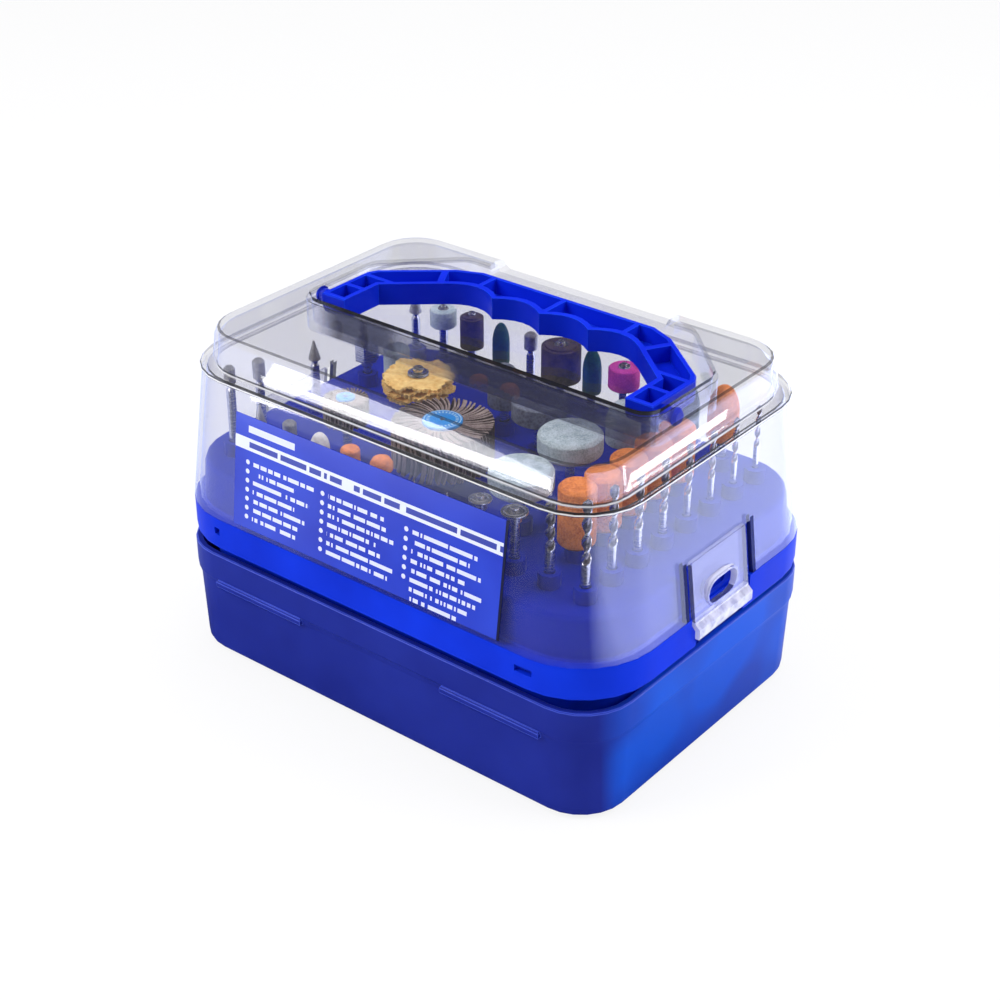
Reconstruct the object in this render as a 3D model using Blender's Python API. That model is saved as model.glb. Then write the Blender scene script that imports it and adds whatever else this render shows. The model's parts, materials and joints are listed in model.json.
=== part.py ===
# Accessory case for a rotary tool: tub, lift-out tray with its bits, clear latched lid, folding handle.
# Metres, +Z up, X along the case, the label faces -Y, origin at the centre of the footprint.
import bpy
import bmesh
from math import sin, cos, pi, radians, hypot, atan2

for ob in list(bpy.data.objects):
    bpy.data.objects.remove(ob, do_unlink=True)

MM = 0.001

# ---- driving sizes, millimetres -------------------------------------------------------------
CASE_L, CASE_W = 190.0, 133.4    # over the tray's band, the widest piece
GAP = 0.3                 # clearance between pieces that rest on each other
# tub
RIM_IN_X, RIM_IN_Y = 2.15, 1.65  # rim behind the band's face
RIM_Z = 42.3              # top of the rim, so the height of the tub
RIM_BAND = 11.0           # height of the rim band
RIM_R = 19.5              # corner radius in plan
RIM_STEP = 1.0            # how far the body is set in below the rim band
TUB_WALL = 2.3
TUB_FLOOR = 2.0
TUB_DRAFT = 0.9           # how much further the foot of the wall is set in
FOOT_H, FOOT_R, FOOT_IN = 0.8, 2.6, 11.0
FIN_T, FIN_REACH = 2.0, 9.0
DIVIDER_T, DIVIDER_DROP = 1.8, 3.4
DIVIDER_X = (-30.0, 30.0)
BAR_H, BAR_OUT = 3.0, 1.3
BAR_L, BAR_FROM_END = 40.5, 21.35
# tray
BAND_R = 28.0
BAND_LIFT = 4.6           # shadow gap between the rim and the band
BAND_H = 11.7
PLUG_INSET, PLUG_DROP = 6.7, 6.3 # the skirt that drops into the tub and stands on its fins
BLOCK_INSET = 3.6         # raised block behind the band face
BLOCK_H = 15.4
BLOCK_DRAFT = 1.2
TRAY_WALL = 2.0
BOSS_R, BOSS_H = 3.8, 5.0
SOCKET_R, SOCKET_DEPTH = 3.0, 11.0
SHANK_R = 1.6
SHANK_CLEAR = 0.2
WINDOW_L, WINDOW_H, WINDOW_FROM_END, WINDOW_UP = 6.6, 2.3, 25.8, 5.4
SMALL_WINDOW = 2.6
# lid
LID_WALL = 1.6
LID_H = 64.1              # from the band to the plateau
DOME_H = 12.6             # from the ledge to the plateau
LEDGE_INSET = 6.2         # lid wall leans in this far from band to ledge
LEDGE_BEAD = 0.6
LEDGE_W = 3.5
DOME_DRAFT = 2.7
PLATEAU_R = 3.0
# handle pocket
POCKET_X, POCKET_FRONT, POCKET_BACK = 73.0, -13.2, 47.0
POCKET_CUT_X, POCKET_CUT_Y = 24.0, 24.0
POCKET_DEPTH = 11.0
NOTCH_HALF, NOTCH_DEPTH = 38.5, 4.0
# handle
HANDLE_SIDE = 3.0         # gap to the pocket's end wall
HANDLE_T = 8.0
HANDLE_W = 10.5           # width of each arm
HANDLE_LOW = 1.0          # top of the handle below the plateau
GRIP_BACK = 5.2           # back of the grip in front of the pocket's back wall
GRIP_W = 15.8
SCALLOPS, SCALLOP_PITCH, SCALLOP_DEPTH = 4, 20.6, 4.2
CHANNEL_WALL, CHANNEL_FLOOR = 1.8, 2.2
HEEL_R = 5.6
PIVOT_Y = -1.5
PIN_R, PIN_CLEAR, BARB_R = 2.4, 0.1, 3.1
PAD_X = 30.0              # where the folded grip rests on the pocket floor
# latches
LATCH_HALF = 15.5
LATCH_UP = 18.8           # root of the tongue above the lid's edge
LATCH_SLOT = 3.0
LIP_DOWN, LIP_H, LIP_OUT = 2.9, 5.2, 1.6
CATCH_UP, CATCH_L, CATCH_H = 4.3, 14.5, 6.6
RING_W, RING_OUT = 1.1, 0.5      # raised ring round the tongue's hole
CATCH_CLEAR = 0.9
# label
LABEL_X, LABEL_UP, LABEL_H, LABEL_T, LABEL_GAP = (-59.0, 56.5), 1.6, 40.5, 0.15, 0.1
# bits
DRILL_IN_X, DRILL_IN_Y = 19.4, 18.5   # the corner drill behind the band's faces
ROW_COUNT, COLUMN_COUNT = 12, 8
STONE_IN = 16.6           # the column of stones behind the column of drills

SEG = 6                   # facets per rounded corner

# ---- sizes that follow ----------------------------------------------------------------------
BX, BY = CASE_L / 2, CASE_W / 2
RX, RY = BX - RIM_IN_X, BY - RIM_IN_Y
PLUG_Z = RIM_Z - PLUG_DROP
BAND_BOT = RIM_Z + BAND_LIFT
BAND_TOP = BAND_BOT + BAND_H
BLOCK_TOP = BAND_TOP + BLOCK_H
LID_Z = BAND_TOP + GAP
CASE_H = LID_Z + LID_H
LID_LEDGE_Z = CASE_H - DOME_H
LATCH_TOP, LIP_Z, CATCH_Z = LID_Z + LATCH_UP, LID_Z - LIP_DOWN, LID_Z + CATCH_UP
LABEL_Z = (LID_Z + LABEL_UP, LID_Z + LABEL_UP + LABEL_H)
WINDOW_Z = BAND_BOT + WINDOW_UP
POCKET_Z = CASE_H - POCKET_DEPTH
WALL_TOP = LID_LEDGE_Z - 2.2
LEAN = LEDGE_INSET / (WALL_TOP - LID_Z)
HAND_X = POCKET_X - HANDLE_SIDE
HAND_TOP = CASE_H - HANDLE_LOW
HAND_BOT = HAND_TOP - HANDLE_T
PIVOT_Z = POCKET_Z + 0.4 + HEEL_R
BOSS_TOP = BLOCK_TOP + BOSS_H
SOCKET_FLOOR = BOSS_TOP - SOCKET_DEPTH
SHANK_END = SOCKET_FLOOR + GAP
GRIP_OUT = POCKET_BACK - GRIP_BACK
GRIP_IN = GRIP_OUT - GRIP_W
GRIP_HALF = SCALLOPS * SCALLOP_PITCH / 2
ARM_IN = HAND_X - HANDLE_W
BEND_IN = GRIP_IN - 15.5
ARM_END = PIVOT_Y - HEEL_R


# ---- materials ------------------------------------------------------------------------------
def material(name, color, rough, metal=0.0, alpha=1.0):
    m = bpy.data.materials.new(name)
    m.use_nodes = True
    b = m.node_tree.nodes["Principled BSDF"]
    b.inputs["Base Color"].default_value = (*color, 1.0)
    b.inputs["Roughness"].default_value = rough
    b.inputs["Metallic"].default_value = metal
    b.inputs["Alpha"].default_value = alpha
    return m


MAT = {
    "tub": material("tub_plastic", (0.012, 0.02, 0.22), 0.35),
    "tray": material("tray_plastic", (0.006, 0.045, 0.62), 0.4),
    "lid": material("clear_plastic", (0.86, 0.88, 0.95), 0.12, 0.0, 0.35),
    "handle": material("handle_plastic", (0.003, 0.02, 0.5), 0.35),
    "label": material("label_film", (0.09, 0.1, 0.55), 0.4),
    "steel": material("tool_steel", (0.6, 0.58, 0.55), 0.3, 1.0),
    "oxide": material("brown_oxide_stone", (0.55, 0.17, 0.05), 0.9),
    "carbide": material("green_carbide_stone", (0.27, 0.42, 0.42), 0.9),
    "flap": material("flap_abrasive", (0.12, 0.07, 0.055), 0.9),
    "cotton": material("cotton_buff", (0.75, 0.5, 0.2), 0.9),
    "felt": material("white_felt", (0.8, 0.77, 0.7), 0.95),
    "rubber": material("green_rubber", (0.015, 0.07, 0.06), 0.8),
    "magenta": material("pink_rubber", (0.55, 0.04, 0.25), 0.7),
    "diamond": material("diamond_grit", (0.5, 0.47, 0.42), 0.6, 0.7),
    "disc": material("cut_off_disc", (0.2, 0.07, 0.04), 0.85),
    "sand": material("sanding_band", (0.16, 0.06, 0.045), 0.95),
}


# ---- mesh helpers ---------------------------------------------------------------------------
def finish_mesh(name, bm, mat, sharp=35.0):
    bmesh.ops.remove_doubles(bm, verts=bm.verts, dist=1e-8)
    bmesh.ops.recalc_face_normals(bm, faces=bm.faces)
    me = bpy.data.meshes.new(name)
    bm.to_mesh(me)
    bm.free()
    ob = bpy.data.objects.new(name, me)
    bpy.context.scene.collection.objects.link(ob)
    if mat:
        me.materials.append(MAT[mat])
    for p in me.polygons:
        p.use_smooth = True
    me.set_sharp_from_angle(angle=radians(sharp))
    return ob


def loft_into(bm, loops):
    """Closed skin through loops of equal length, capped at both ends."""
    rings = [[bm.verts.new((x * MM, y * MM, z * MM)) for x, y, z in lp] for lp in loops]
    n = len(rings[0])
    for a, b in zip(rings, rings[1:]):
        for i in range(n):
            bm.faces.new((a[i], a[(i + 1) % n], b[(i + 1) % n], b[i]))
    bm.faces.new(rings[0][::-1])
    bm.faces.new(rings[-1])


def body(name, parts, mat=None):
    bm = bmesh.new()
    for loops in parts:
        loft_into(bm, loops)
    return finish_mesh(name, bm, mat)


def rounded(hx, hy, r, z, seg=SEG):
    pts = []
    for sx, sy, a0 in ((1, -1, -90), (1, 1, 0), (-1, 1, 90), (-1, -1, 180)):
        for i in range(seg + 1):
            a = radians(a0 + 90.0 * i / seg)
            pts.append((sx * (hx - r) + r * cos(a), sy * (hy - r) + r * sin(a), z))
    return pts


def inset(hx, hy, r, d, z):
    return rounded(hx - d, hy - d, max(r - d, 1.0), z)


def box(x0, x1, y0, y1, z0, z1):
    return [[(x0, y0, z), (x1, y0, z), (x1, y1, z), (x0, y1, z)] for z in (z0, z1)]


def disc(x, y, r, z, n, turn=0.0):
    return [(x + r * cos(2 * pi * (i + turn) / n), y + r * sin(2 * pi * (i + turn) / n), z)
            for i in range(n)]


def offset_poly(pts, d):
    """Convex counter-clockwise polygon moved outward by d."""
    n, out = len(pts), []
    for i in range(n):
        (ax, ay), (bx, by), (cx, cy) = pts[i - 1], pts[i], pts[(i + 1) % n]
        l1, l2 = hypot(bx - ax, by - ay), hypot(cx - bx, cy - by)
        n1 = ((by - ay) / l1, -(bx - ax) / l1)
        n2 = ((cy - by) / l2, -(cx - bx) / l2)
        k = d / (1 + n1[0] * n2[0] + n1[1] * n2[1])
        out.append((bx + (n1[0] + n2[0]) * k, by + (n1[1] + n2[1]) * k))
    return out


def fillet_poly(pts, r, z, seg=4):
    """Convex polygon with every corner rounded, as one loop at height z."""
    n, out = len(pts), []
    for i in range(n):
        (ax, ay), (bx, by), (cx, cy) = pts[i - 1], pts[i], pts[(i + 1) % n]
        l1, l2 = hypot(ax - bx, ay - by), hypot(cx - bx, cy - by)
        u, v = ((ax - bx) / l1, (ay - by) / l1), ((cx - bx) / l2, (cy - by) / l2)
        half = (pi - atan2(abs(u[0] * v[1] - u[1] * v[0]), u[0] * v[0] + u[1] * v[1])) / 2
        t = r * sin(half) / cos(half)
        p, q = (bx + u[0] * t, by + u[1] * t), (bx + v[0] * t, by + v[1] * t)
        m = (u[0] + v[0], u[1] + v[1])
        k = hypot(*m)
        c = (bx + m[0] / k * r / cos(half), by + m[1] / k * r / cos(half))
        a0 = atan2(p[1] - c[1], p[0] - c[0])
        a1 = atan2(q[1] - c[1], q[0] - c[0])
        while a1 < a0:
            a1 += 2 * pi
        for s in range(seg + 1):
            a = a0 + (a1 - a0) * s / seg
            out.append((c[0] + r * cos(a), c[1] + r * sin(a), z))
    return out


def boolean(ob, cutter, op):
    m = ob.modifiers.new(cutter.name, "BOOLEAN")
    m.operation = op
    m.solver = "EXACT"
    m.object = cutter
    cutter.hide_render = True
    cutter.display_type = "WIRE"


def bake(ob, *cutters):
    """Apply the modifiers and drop the cutters."""
    dg = bpy.context.evaluated_depsgraph_get()
    me = bpy.data.meshes.new_from_object(ob.evaluated_get(dg), depsgraph=dg)
    mats = list(ob.data.materials)
    ob.modifiers.clear()
    ob.data = me
    me.name = ob.name
    me.materials.clear()
    for m in mats:
        me.materials.append(m)
    for p in me.polygons:
        p.use_smooth = True
        p.material_index = 0
    me.set_sharp_from_angle(angle=radians(35.0))
    for c in cutters:
        bpy.data.objects.remove(c, do_unlink=True)


def lathe_into(bm, x, y, profile, n, turn=0.0):
    """Revolve (radius, z) points about a vertical axis; the ends lie on the axis."""
    rows = []
    for r, z in profile:
        if r <= 0:
            rows.append([bm.verts.new((x * MM, y * MM, z * MM))])
        else:
            rows.append([bm.verts.new((px * MM, py * MM, pz * MM))
                         for px, py, pz in disc(x, y, r, z, n, turn)])
    for a, b in zip(rows, rows[1:]):
        for i in range(n):
            j = (i + 1) % n
            if len(a) == 1:
                bm.faces.new((a[0], b[j], b[i]))
            elif len(b) == 1:
                bm.faces.new((a[i], a[j], b[0]))
            else:
                bm.faces.new((a[i], a[j], b[j], b[i]))


def lathe(name, x, y, profile, mat, n=12, turn=0.0):
    bm = bmesh.new()
    lathe_into(bm, x, y, profile, n, turn)
    return finish_mesh(name, bm, mat)


# ---- tub ------------------------------------------------------------------------------------
def make_tub():
    body_top = RIM_Z - RIM_BAND
    foot_in = RIM_STEP + TUB_DRAFT
    outer = [inset(RX, RY, RIM_R, d, z) for d, z in (
        (foot_in + 1.8, FOOT_H), (foot_in + 0.5, FOOT_H + 0.5), (foot_in, FOOT_H + 1.9),
        (RIM_STEP, body_top - 2.5), (0.3, body_top), (0.05, body_top + 0.6), (0.0, RIM_Z - 0.4), (0.4, RIM_Z))]
    t = TUB_WALL
    floor = FOOT_H + TUB_FLOOR
    inner = [inset(RX, RY, RIM_R, d, z) for d, z in (
        (foot_in + t + 1.9, floor), (foot_in + t + 0.4, floor + 0.9), (foot_in + t, floor + 2.2),
        (RIM_STEP + t, body_top - 1.5), (t + 0.1, body_top + 1.0), (t, RIM_Z + 1.0))]
    tub = body("base_box", [outer], "tub")
    hollow = body("c_hollow", [inner])
    boolean(tub, hollow, "DIFFERENCE")
    bake(tub, hollow)
    # fins that carry the tray, dividers, feet and the two bars on the front
    top = PLUG_Z - GAP
    reach_x, reach_y = RX - FIN_REACH, RY - FIN_REACH
    wx, wy = RX - RIM_STEP - t / 2, RY - RIM_STEP - t / 2
    slope = ((floor - 1.0, TUB_DRAFT), (top, -0.6))
    parts = []
    for side in (-1, 1):
        for at in (-62.0, -12.0, 12.0, 62.0):
            parts.append([[(at - FIN_T / 2, ys[0], z), (at + FIN_T / 2, ys[0], z),
                           (at + FIN_T / 2, ys[1], z), (at - FIN_T / 2, ys[1], z)]
                          for z, o in slope for ys in [sorted((side * reach_y, side * (wy - o)))]])
        for at in (-36.0, 36.0):
            parts.append([[(xs[0], at - FIN_T / 2, z), (xs[1], at - FIN_T / 2, z),
                           (xs[1], at + FIN_T / 2, z), (xs[0], at + FIN_T / 2, z)]
                          for z, o in slope for xs in [sorted((side * reach_x, side * (wx - o)))]])
    for x in DIVIDER_X:
        a, b = x - DIVIDER_T / 2, x + DIVIDER_T / 2
        parts.append([[(a, -e, z), (b, -e, z), (b, e, z), (a, e, z)]
                      for z, e in ((floor - 1.0, wy - TUB_DRAFT), (top - DIVIDER_DROP, wy + 0.4))])
    for sx in (-1, 1):
        for sy in (-1, 1):
            parts.append([disc(sx * (RX - FOOT_IN), sy * (RY - FOOT_IN), FOOT_R, z, 12)
                          for z in (0.0, FOOT_H + 1.0)])
    for x0, x1 in ((BAR_FROM_END - RX, BAR_FROM_END + BAR_L - RX), (RX - BAR_FROM_END - BAR_L, RX - BAR_FROM_END)):
        z1, y = body_top + 0.5, RY - RIM_STEP
        parts.append([[(x0 + c, -y - o, z), (x1 - c, -y - o, z), (x1 - c, -y + 0.8, z), (x0 + c, -y + 0.8, z)]
                      for c, o, z in ((0.5, BAR_OUT, z1 - BAR_H), (0.0, BAR_OUT + 0.5, z1 - BAR_H + 0.7),
                                      (0.0, BAR_OUT + 0.5, z1 - 0.7), (0.5, BAR_OUT, z1))])
    extra = body("c_extra", parts)
    boolean(tub, extra, "UNION")
    bake(tub, extra)
    return tub


# ---- bits: where each one stands and what it is ---------------------------------------------
ROW_X0, ROW_Y = BX - DRILL_IN_X, DRILL_IN_Y - BY     # the drill in the front right corner
PITCH_X = 2 * ROW_X0 / (ROW_COUNT - 1)
PITCH_Y = -2 * ROW_Y / (COLUMN_COUNT - 1)


def row_x(k):
    return ROW_X0 - PITCH_X * k


def row_y(k):
    return ROW_Y + PITCH_Y * k


# (name, kind, x, y, sizes): the last of the sizes is how far the bit stands out of its boss
SPOTS = [(f"twist_drill_{j + 1}", "drill", ROW_X0, row_y(j), (1.6 - 0.09 * j, 30.4 - 1.0 * j))
         for j in range(COLUMN_COUNT)]
SPOTS += [
    ("twist_drill_9", "drill", row_x(1), ROW_Y, (1.6, 25.0)),
    ("cutting_mandrel_1", "mandrel", row_x(2), ROW_Y, (4.4, 18.0)),
    ("cutting_mandrel_2", "mandrel", row_x(3), ROW_Y, (3.8, 17.5)),
    ("screw_mandrel_1", "screw", row_x(4), ROW_Y, (1.9, 13.4)),
    ("screw_mandrel_2", "screw", row_x(5), ROW_Y, (1.9, 13.0)),
    ("cap_stone", "cap", row_x(6), ROW_Y, (3.8, 17.0)),
    ("pencil_stone", "stone", row_x(7), ROW_Y, (3.3, 9.0, 15.7)),
    ("felt_bob_1", "bullet", row_x(8), ROW_Y, (3.4, 12.0, 16.5)),
    ("diamond_burr_1", "burr", row_x(9), ROW_Y, (2.4, 9.0, 16.4)),
    ("diamond_burr_2", "cone", row_x(10), ROW_Y, (2.2, 9.0, 18.0)),
    ("diamond_burr_3", "burr", row_x(11), ROW_Y, (2.0, 7.0, 28.4)),
]
for j in range(5):
    tall = 21.5 if j == 0 else 20.0
    SPOTS.append((f"oxide_stone_{j + 1}", "bigstone", ROW_X0 - STONE_IN, row_y(1.285 + j), (6.2, tall, tall + 0.6)))
SPOTS += [
    ("carbide_wheel_1", "bigstone", row_x(2.97), row_y(1.47), (10.8, 8.0, 18.5)),
    ("carbide_wheel_2", "bigstone", row_x(2.99), row_y(3.39), (11.0, 8.0, 20.5)),
    ("carbide_point", "bullet", row_x(2.81), row_y(5.32), (6.0, 16.0, 22.0)),
    ("flap_wheel", "flap", row_x(5.75), row_y(1.94), (17.5, 15.0, 20.0)),
    ("cotton_buff", "buff", row_x(7.75), row_y(3.35), (12.6, 7.0, 22.5)),
    ("felt_wheel", "felt", row_x(4.81), row_y(4.52), (9.5, 7.0, 18.0)),
    ("brush_wheel", "flapsmall", row_x(8.41), row_y(1.39), (8.0, 9.0, 20.0)),
    ("felt_cone", "bullet", row_x(6.37), row_y(5.1), (6.0, 16.0, 22.0)),
]
BACK = [
    ("oxide_point", "bullet", 1, (5.4, 20.0, 26.5), "oxide"),
    ("rubber_point_1", "bullet", 2, (3.6, 17.0, 22.3), "rubber"),
    ("rubber_point_2", "bullet", 3, (3.6, 17.0, 22.8), "rubber"),
    ("rubber_wheel_pink", "wheel", 4, (5.6, 8.0, 20.8), "magenta"),
    ("rubber_point_3", "bullet", 5, (3.4, 17.0, 23.5), "rubber"),
    ("sanding_drum_1", "drum", 6, (7.2, 13.0, 20.8), "sand"),
    ("diamond_burr_6", "burr", 7, (2.4, 7.0, 21.8), "diamond"),
    ("rubber_point_4", "bullet", 8, (3.2, 16.0, 21.8), "rubber"),
    ("sanding_drum_2", "drum", 9, (4.4, 12.0, 20.3), "sand"),
    ("rubber_wheel_grey", "wheel", 10, (5.0, 7.0, 19.8), "carbide"),
    ("diamond_burr_7", "cone", 11, (2.4, 9.0, 22.8), "diamond"),
]
KIND_MAT = {"drill": "steel", "mandrel": "steel", "screw": "steel", "cap": "oxide", "stone": "oxide",
            "bullet": "felt", "burr": "diamond", "cone": "diamond", "bigstone": "oxide", "flap": "flap",
            "buff": "cotton", "felt": "felt", "flapsmall": "flap", "wheel": "magenta", "drum": "sand"}
SPOTS = [(n, k, x, y, s, "carbide" if n.startswith("carbide") else KIND_MAT[k]) for n, k, x, y, s in SPOTS]
SPOTS += [(n, k, row_x(i), -ROW_Y, s, m) for n, k, i, s, m in BACK]
SPOTS += [
    ("diamond_burr_4", "burr", row_x(11), row_y(1), (2.2, 8.0, 26.0), "diamond"),
    ("diamond_burr_5", "cone", row_x(11), row_y(3), (2.2, 8.0, 22.8), "diamond"),
    ("collet_nut", "nut", row_x(11), row_y(5), (4.6, 9.0, 14.0), "steel"),
    ("carbide_pencil", "stone", row_x(9.5), row_y(4.52), (4.8, 14.0, 19.0), "carbide"),
]
SPOTS = [(n, k, x, y, (*s[:-1], BOSS_TOP + s[-1]), m) for n, k, x, y, s, m in SPOTS]


def shank_r(kind, size):
    return size[0] if kind == "drill" else SHANK_R


# ---- tray -----------------------------------------------------------------------------------
def make_tray():
    t, p = TRAY_WALL, PLUG_INSET
    ix, iy, ir = BX - BLOCK_INSET, BY - BLOCK_INSET, BAND_R - BLOCK_INSET
    outer = [inset(BX, BY, BAND_R, d, z) for d, z in (
        (p + 0.5, PLUG_Z), (p, PLUG_Z + 1.5), (p, BAND_TOP - t), (t, BAND_TOP - t), (t + 0.1, BAND_BOT),
        (0.3, BAND_BOT), (0.0, BAND_BOT + 0.8), (0.0, BAND_TOP))]
    outer += [inset(ix, iy, ir, 0.0, BAND_TOP), inset(ix, iy, ir, BLOCK_DRAFT - 0.2, BLOCK_TOP - 2.0),
              inset(ix, iy, ir, BLOCK_DRAFT + 0.4, BLOCK_TOP - 0.6),
              inset(ix, iy, ir, BLOCK_DRAFT + 1.6, BLOCK_TOP)]
    inner = [inset(BX, BY, BAND_R, p + t, PLUG_Z - 1.0), inset(BX, BY, BAND_R, p + t, BAND_TOP),
             inset(ix, iy, ir, t, BAND_TOP), inset(ix, iy, ir, t + BLOCK_DRAFT, BLOCK_TOP - t - 1.2),
             inset(ix, iy, ir, t + BLOCK_DRAFT + 1.6, BLOCK_TOP - t)]
    tray = body("tray", [outer], "tray")
    hollow = body("c_hollow", [inner])
    boolean(tray, hollow, "DIFFERENCE")
    bake(tray, hollow)
    sockets = body("c_sockets", [[disc(spot[2], spot[3], SOCKET_R, z, 6)
                                  for z in (SOCKET_FLOOR - 1.2, BLOCK_TOP - 1.0)] for spot in SPOTS])
    boolean(tray, sockets, "UNION")
    bake(tray, sockets)
    bosses = body("c_bosses", [[disc(spot[2], spot[3], BOSS_R, z, 8)
                                for z in (BLOCK_TOP - 1.0, BOSS_TOP)] for spot in SPOTS])
    boolean(tray, bosses, "UNION")
    bake(tray, bosses)
    # solid backing behind each latch, then the recess that the latch hangs in
    back, cuts = [], []
    w = LATCH_HALF + LATCH_SLOT + 2.5
    for s in (-1, 1):
        x0, x1 = sorted((s * (BX - p - 0.6), s * (BX - 1.0)))
        back.append(box(x0, x1, -w, w, BAND_BOT + 0.2, BAND_TOP - 0.5))
    backing = body("c_backing", back)
    boolean(tray, backing, "UNION")
    bake(tray, backing)
    w, c = LATCH_HALF + 1.5, 3.0
    for s in (-1, 1):
        x0, x1 = sorted((s * (ix + 0.9), s * (BX + 2.0)))
        cuts.append([[(x0, -w + d, z), (x1, -w + d, z), (x1, w - d, z), (x0, w - d, z)]
                     for d, z in ((c, BAND_BOT - 1.0), (c, BAND_BOT + 2.1), (0.0, BAND_BOT + 2.1 + c),
                                  (0.0, BAND_TOP + 1.0))])
    for spot in SPOTS:
        r = (shank_r(spot[1], spot[4]) + SHANK_CLEAR) / cos(pi / 8)
        cuts.append([disc(spot[2], spot[3], r, z, 8) for z in (SOCKET_FLOOR, BOSS_TOP + 1.0)])
    # window in the band near the front corner, and a small square one at its far end
    x = BX - WINDOW_FROM_END
    cuts.append(box(x - WINDOW_L, x, -BY - 1.0, -BY + t + 1.0, WINDOW_Z, WINDOW_Z + WINDOW_H))
    cuts.append(box(-x, -x + SMALL_WINDOW, -BY - 1.0, -BY + t + 1.0, WINDOW_Z, WINDOW_Z + SMALL_WINDOW))
    recess = body("c_recess", cuts)
    boolean(tray, recess, "DIFFERENCE")
    bake(tray, recess)
    # catches for the latches: oval, dished, just inside the tongue
    face = BX - (CATCH_Z + CATCH_H / 2 - LID_Z) * LEAN - LID_WALL - GAP
    root = ix - BLOCK_DRAFT - 0.6
    nub = body("c_nub", [[stadium(s * x, CATCH_L / 2, CATCH_H / 2, CATCH_Z) for x in (root, face)]
                         for s in (-1, 1)])
    boolean(tray, nub, "UNION")
    bake(tray, nub)
    dish = body("c_dish", [[stadium(s * x, CATCH_L / 2 - 1.6, CATCH_H / 2 - 1.6, CATCH_Z)
                            for x in (face - 1.0, face + 1.0)] for s in (-1, 1)])
    boolean(tray, dish, "DIFFERENCE")
    bake(tray, dish)
    return tray


def stadium(x, half_l, half_h, z, n=6):
    pts = []
    for sy, a0 in ((1, -90), (-1, 90)):
        for i in range(n + 1):
            a = radians(a0 + 180.0 * i / n)
            pts.append((x, sy * (half_l - half_h) + half_h * cos(a), z + half_h * sin(a)))
    return pts


# ---- lid ------------------------------------------------------------------------------------
def pocket_poly(d=0.0):
    x, y0, y1, cx, cy = POCKET_X, POCKET_FRONT, POCKET_BACK, POCKET_CUT_X, POCKET_CUT_Y
    return offset_poly([(-x, y0), (x, y0), (x, y1 - cy), (x - cx, y1), (-x + cx, y1), (-x, y1 - cy)], d)


def make_lid():
    t, e = LID_WALL, LEDGE_INSET
    dome = e + LEDGE_W
    outer = [inset(BX, BY, BAND_R, d, z) for d, z in (
        (0.0, LID_Z), (e, WALL_TOP), (e - LEDGE_BEAD, WALL_TOP + 0.5), (e - LEDGE_BEAD, WALL_TOP + 1.4),
        (e + 0.2, LID_LEDGE_Z), (dome - 0.4, LID_LEDGE_Z), (dome + 0.5, LID_LEDGE_Z + 0.9),
        (dome + DOME_DRAFT - 1.2, CASE_H - PLATEAU_R),
        (dome + DOME_DRAFT - 0.2, CASE_H - 1.0), (dome + DOME_DRAFT + 1.6, CASE_H))]
    k = LEAN
    inner = [inset(BX, BY, BAND_R, d, z) for d, z in (
        (t - k, LID_Z - 1.0), (e + t, WALL_TOP), (e + t + 0.4, LID_LEDGE_Z - t),
        (dome + t - 0.4, LID_LEDGE_Z - t), (dome + t + 0.5, LID_LEDGE_Z + 0.6),
        (dome + DOME_DRAFT + t - 1.4, CASE_H - t - 2.0), (dome + DOME_DRAFT + t + 0.8, CASE_H - t))]
    lid = body("lid", [outer], "lid")
    hollow = body("c_hollow", [inner])
    block = body("c_block", [[fillet_poly(pocket_poly(t), 6.0 + t, POCKET_Z - t),
                              fillet_poly(pocket_poly(t), 6.0 + t, CASE_H)]])
    boolean(hollow, block, "DIFFERENCE")
    bake(hollow, block)
    notch_in = body("c_notch_in", [box(-NOTCH_HALF - t, NOTCH_HALF + t, POCKET_BACK - 4.0, BY,
                                       CASE_H - NOTCH_DEPTH - t, CASE_H + 1.0)])
    boolean(hollow, notch_in, "DIFFERENCE")
    bake(hollow, notch_in)
    boolean(lid, hollow, "DIFFERENCE")
    bake(lid, hollow)
    pocket = body("c_pocket", [[fillet_poly(pocket_poly(d), 6.0 + d, z) for d, z in (
        (-1.4, POCKET_Z), (-0.5, POCKET_Z + 0.9), (0.0, CASE_H - 0.7), (0.8, CASE_H + 0.1),
        (0.8, CASE_H + 1.0))]])
    boolean(lid, pocket, "DIFFERENCE")
    bake(lid, pocket)
    zc = CASE_H - NOTCH_DEPTH
    notch = body("c_notch", [[[(-NOTCH_HALF + c, POCKET_BACK - 3.0, z), (NOTCH_HALF - c, POCKET_BACK - 3.0, z),
                               (NOTCH_HALF - c, BY, z), (-NOTCH_HALF + c, BY, z)]
                              for c, z in ((2.5, zc), (0.8, zc + 1.2), (0.0, CASE_H + 0.2), (0.0, CASE_H + 1.0))]])
    boolean(lid, notch, "DIFFERENCE")
    bake(lid, notch)
    # holes for the handle's pins, and the gates that the two latches hang in
    cuts = []
    for s in (-1, 1):
        r = (PIN_R + PIN_CLEAR) / cos(pi / 16)
        cuts.append([[(s * x, PIVOT_Y + r * cos(2 * pi * (i + 0.5) / 16),
                       PIVOT_Z + r * sin(2 * pi * (i + 0.5) / 16)) for i in range(16)]
                     for x in (POCKET_X - 3.0, POCKET_X + t + 1.0)])
        w = LATCH_HALF + LATCH_SLOT
        x0, x1 = sorted((s * (BX - LID_WALL - 5.0), s * (BX + 2.0)))
        cuts.append(box(x0, x1, -w, w, LID_Z - 1.0, LATCH_TOP + GAP))
    gates = body("c_gates", cuts)
    boolean(lid, gates, "DIFFERENCE")
    bake(lid, gates)
    # two pads on the pocket floor that the folded grip rests on
    pads = body("c_pads", [box(x - 4.0, x + 4.0, GRIP_OUT - 8.0, GRIP_OUT - 3.0, POCKET_Z - 0.8, HAND_BOT - GAP)
                           for x in (-PAD_X, PAD_X)])
    boolean(lid, pads, "UNION")
    bake(lid, pads)
    return lid


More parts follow.
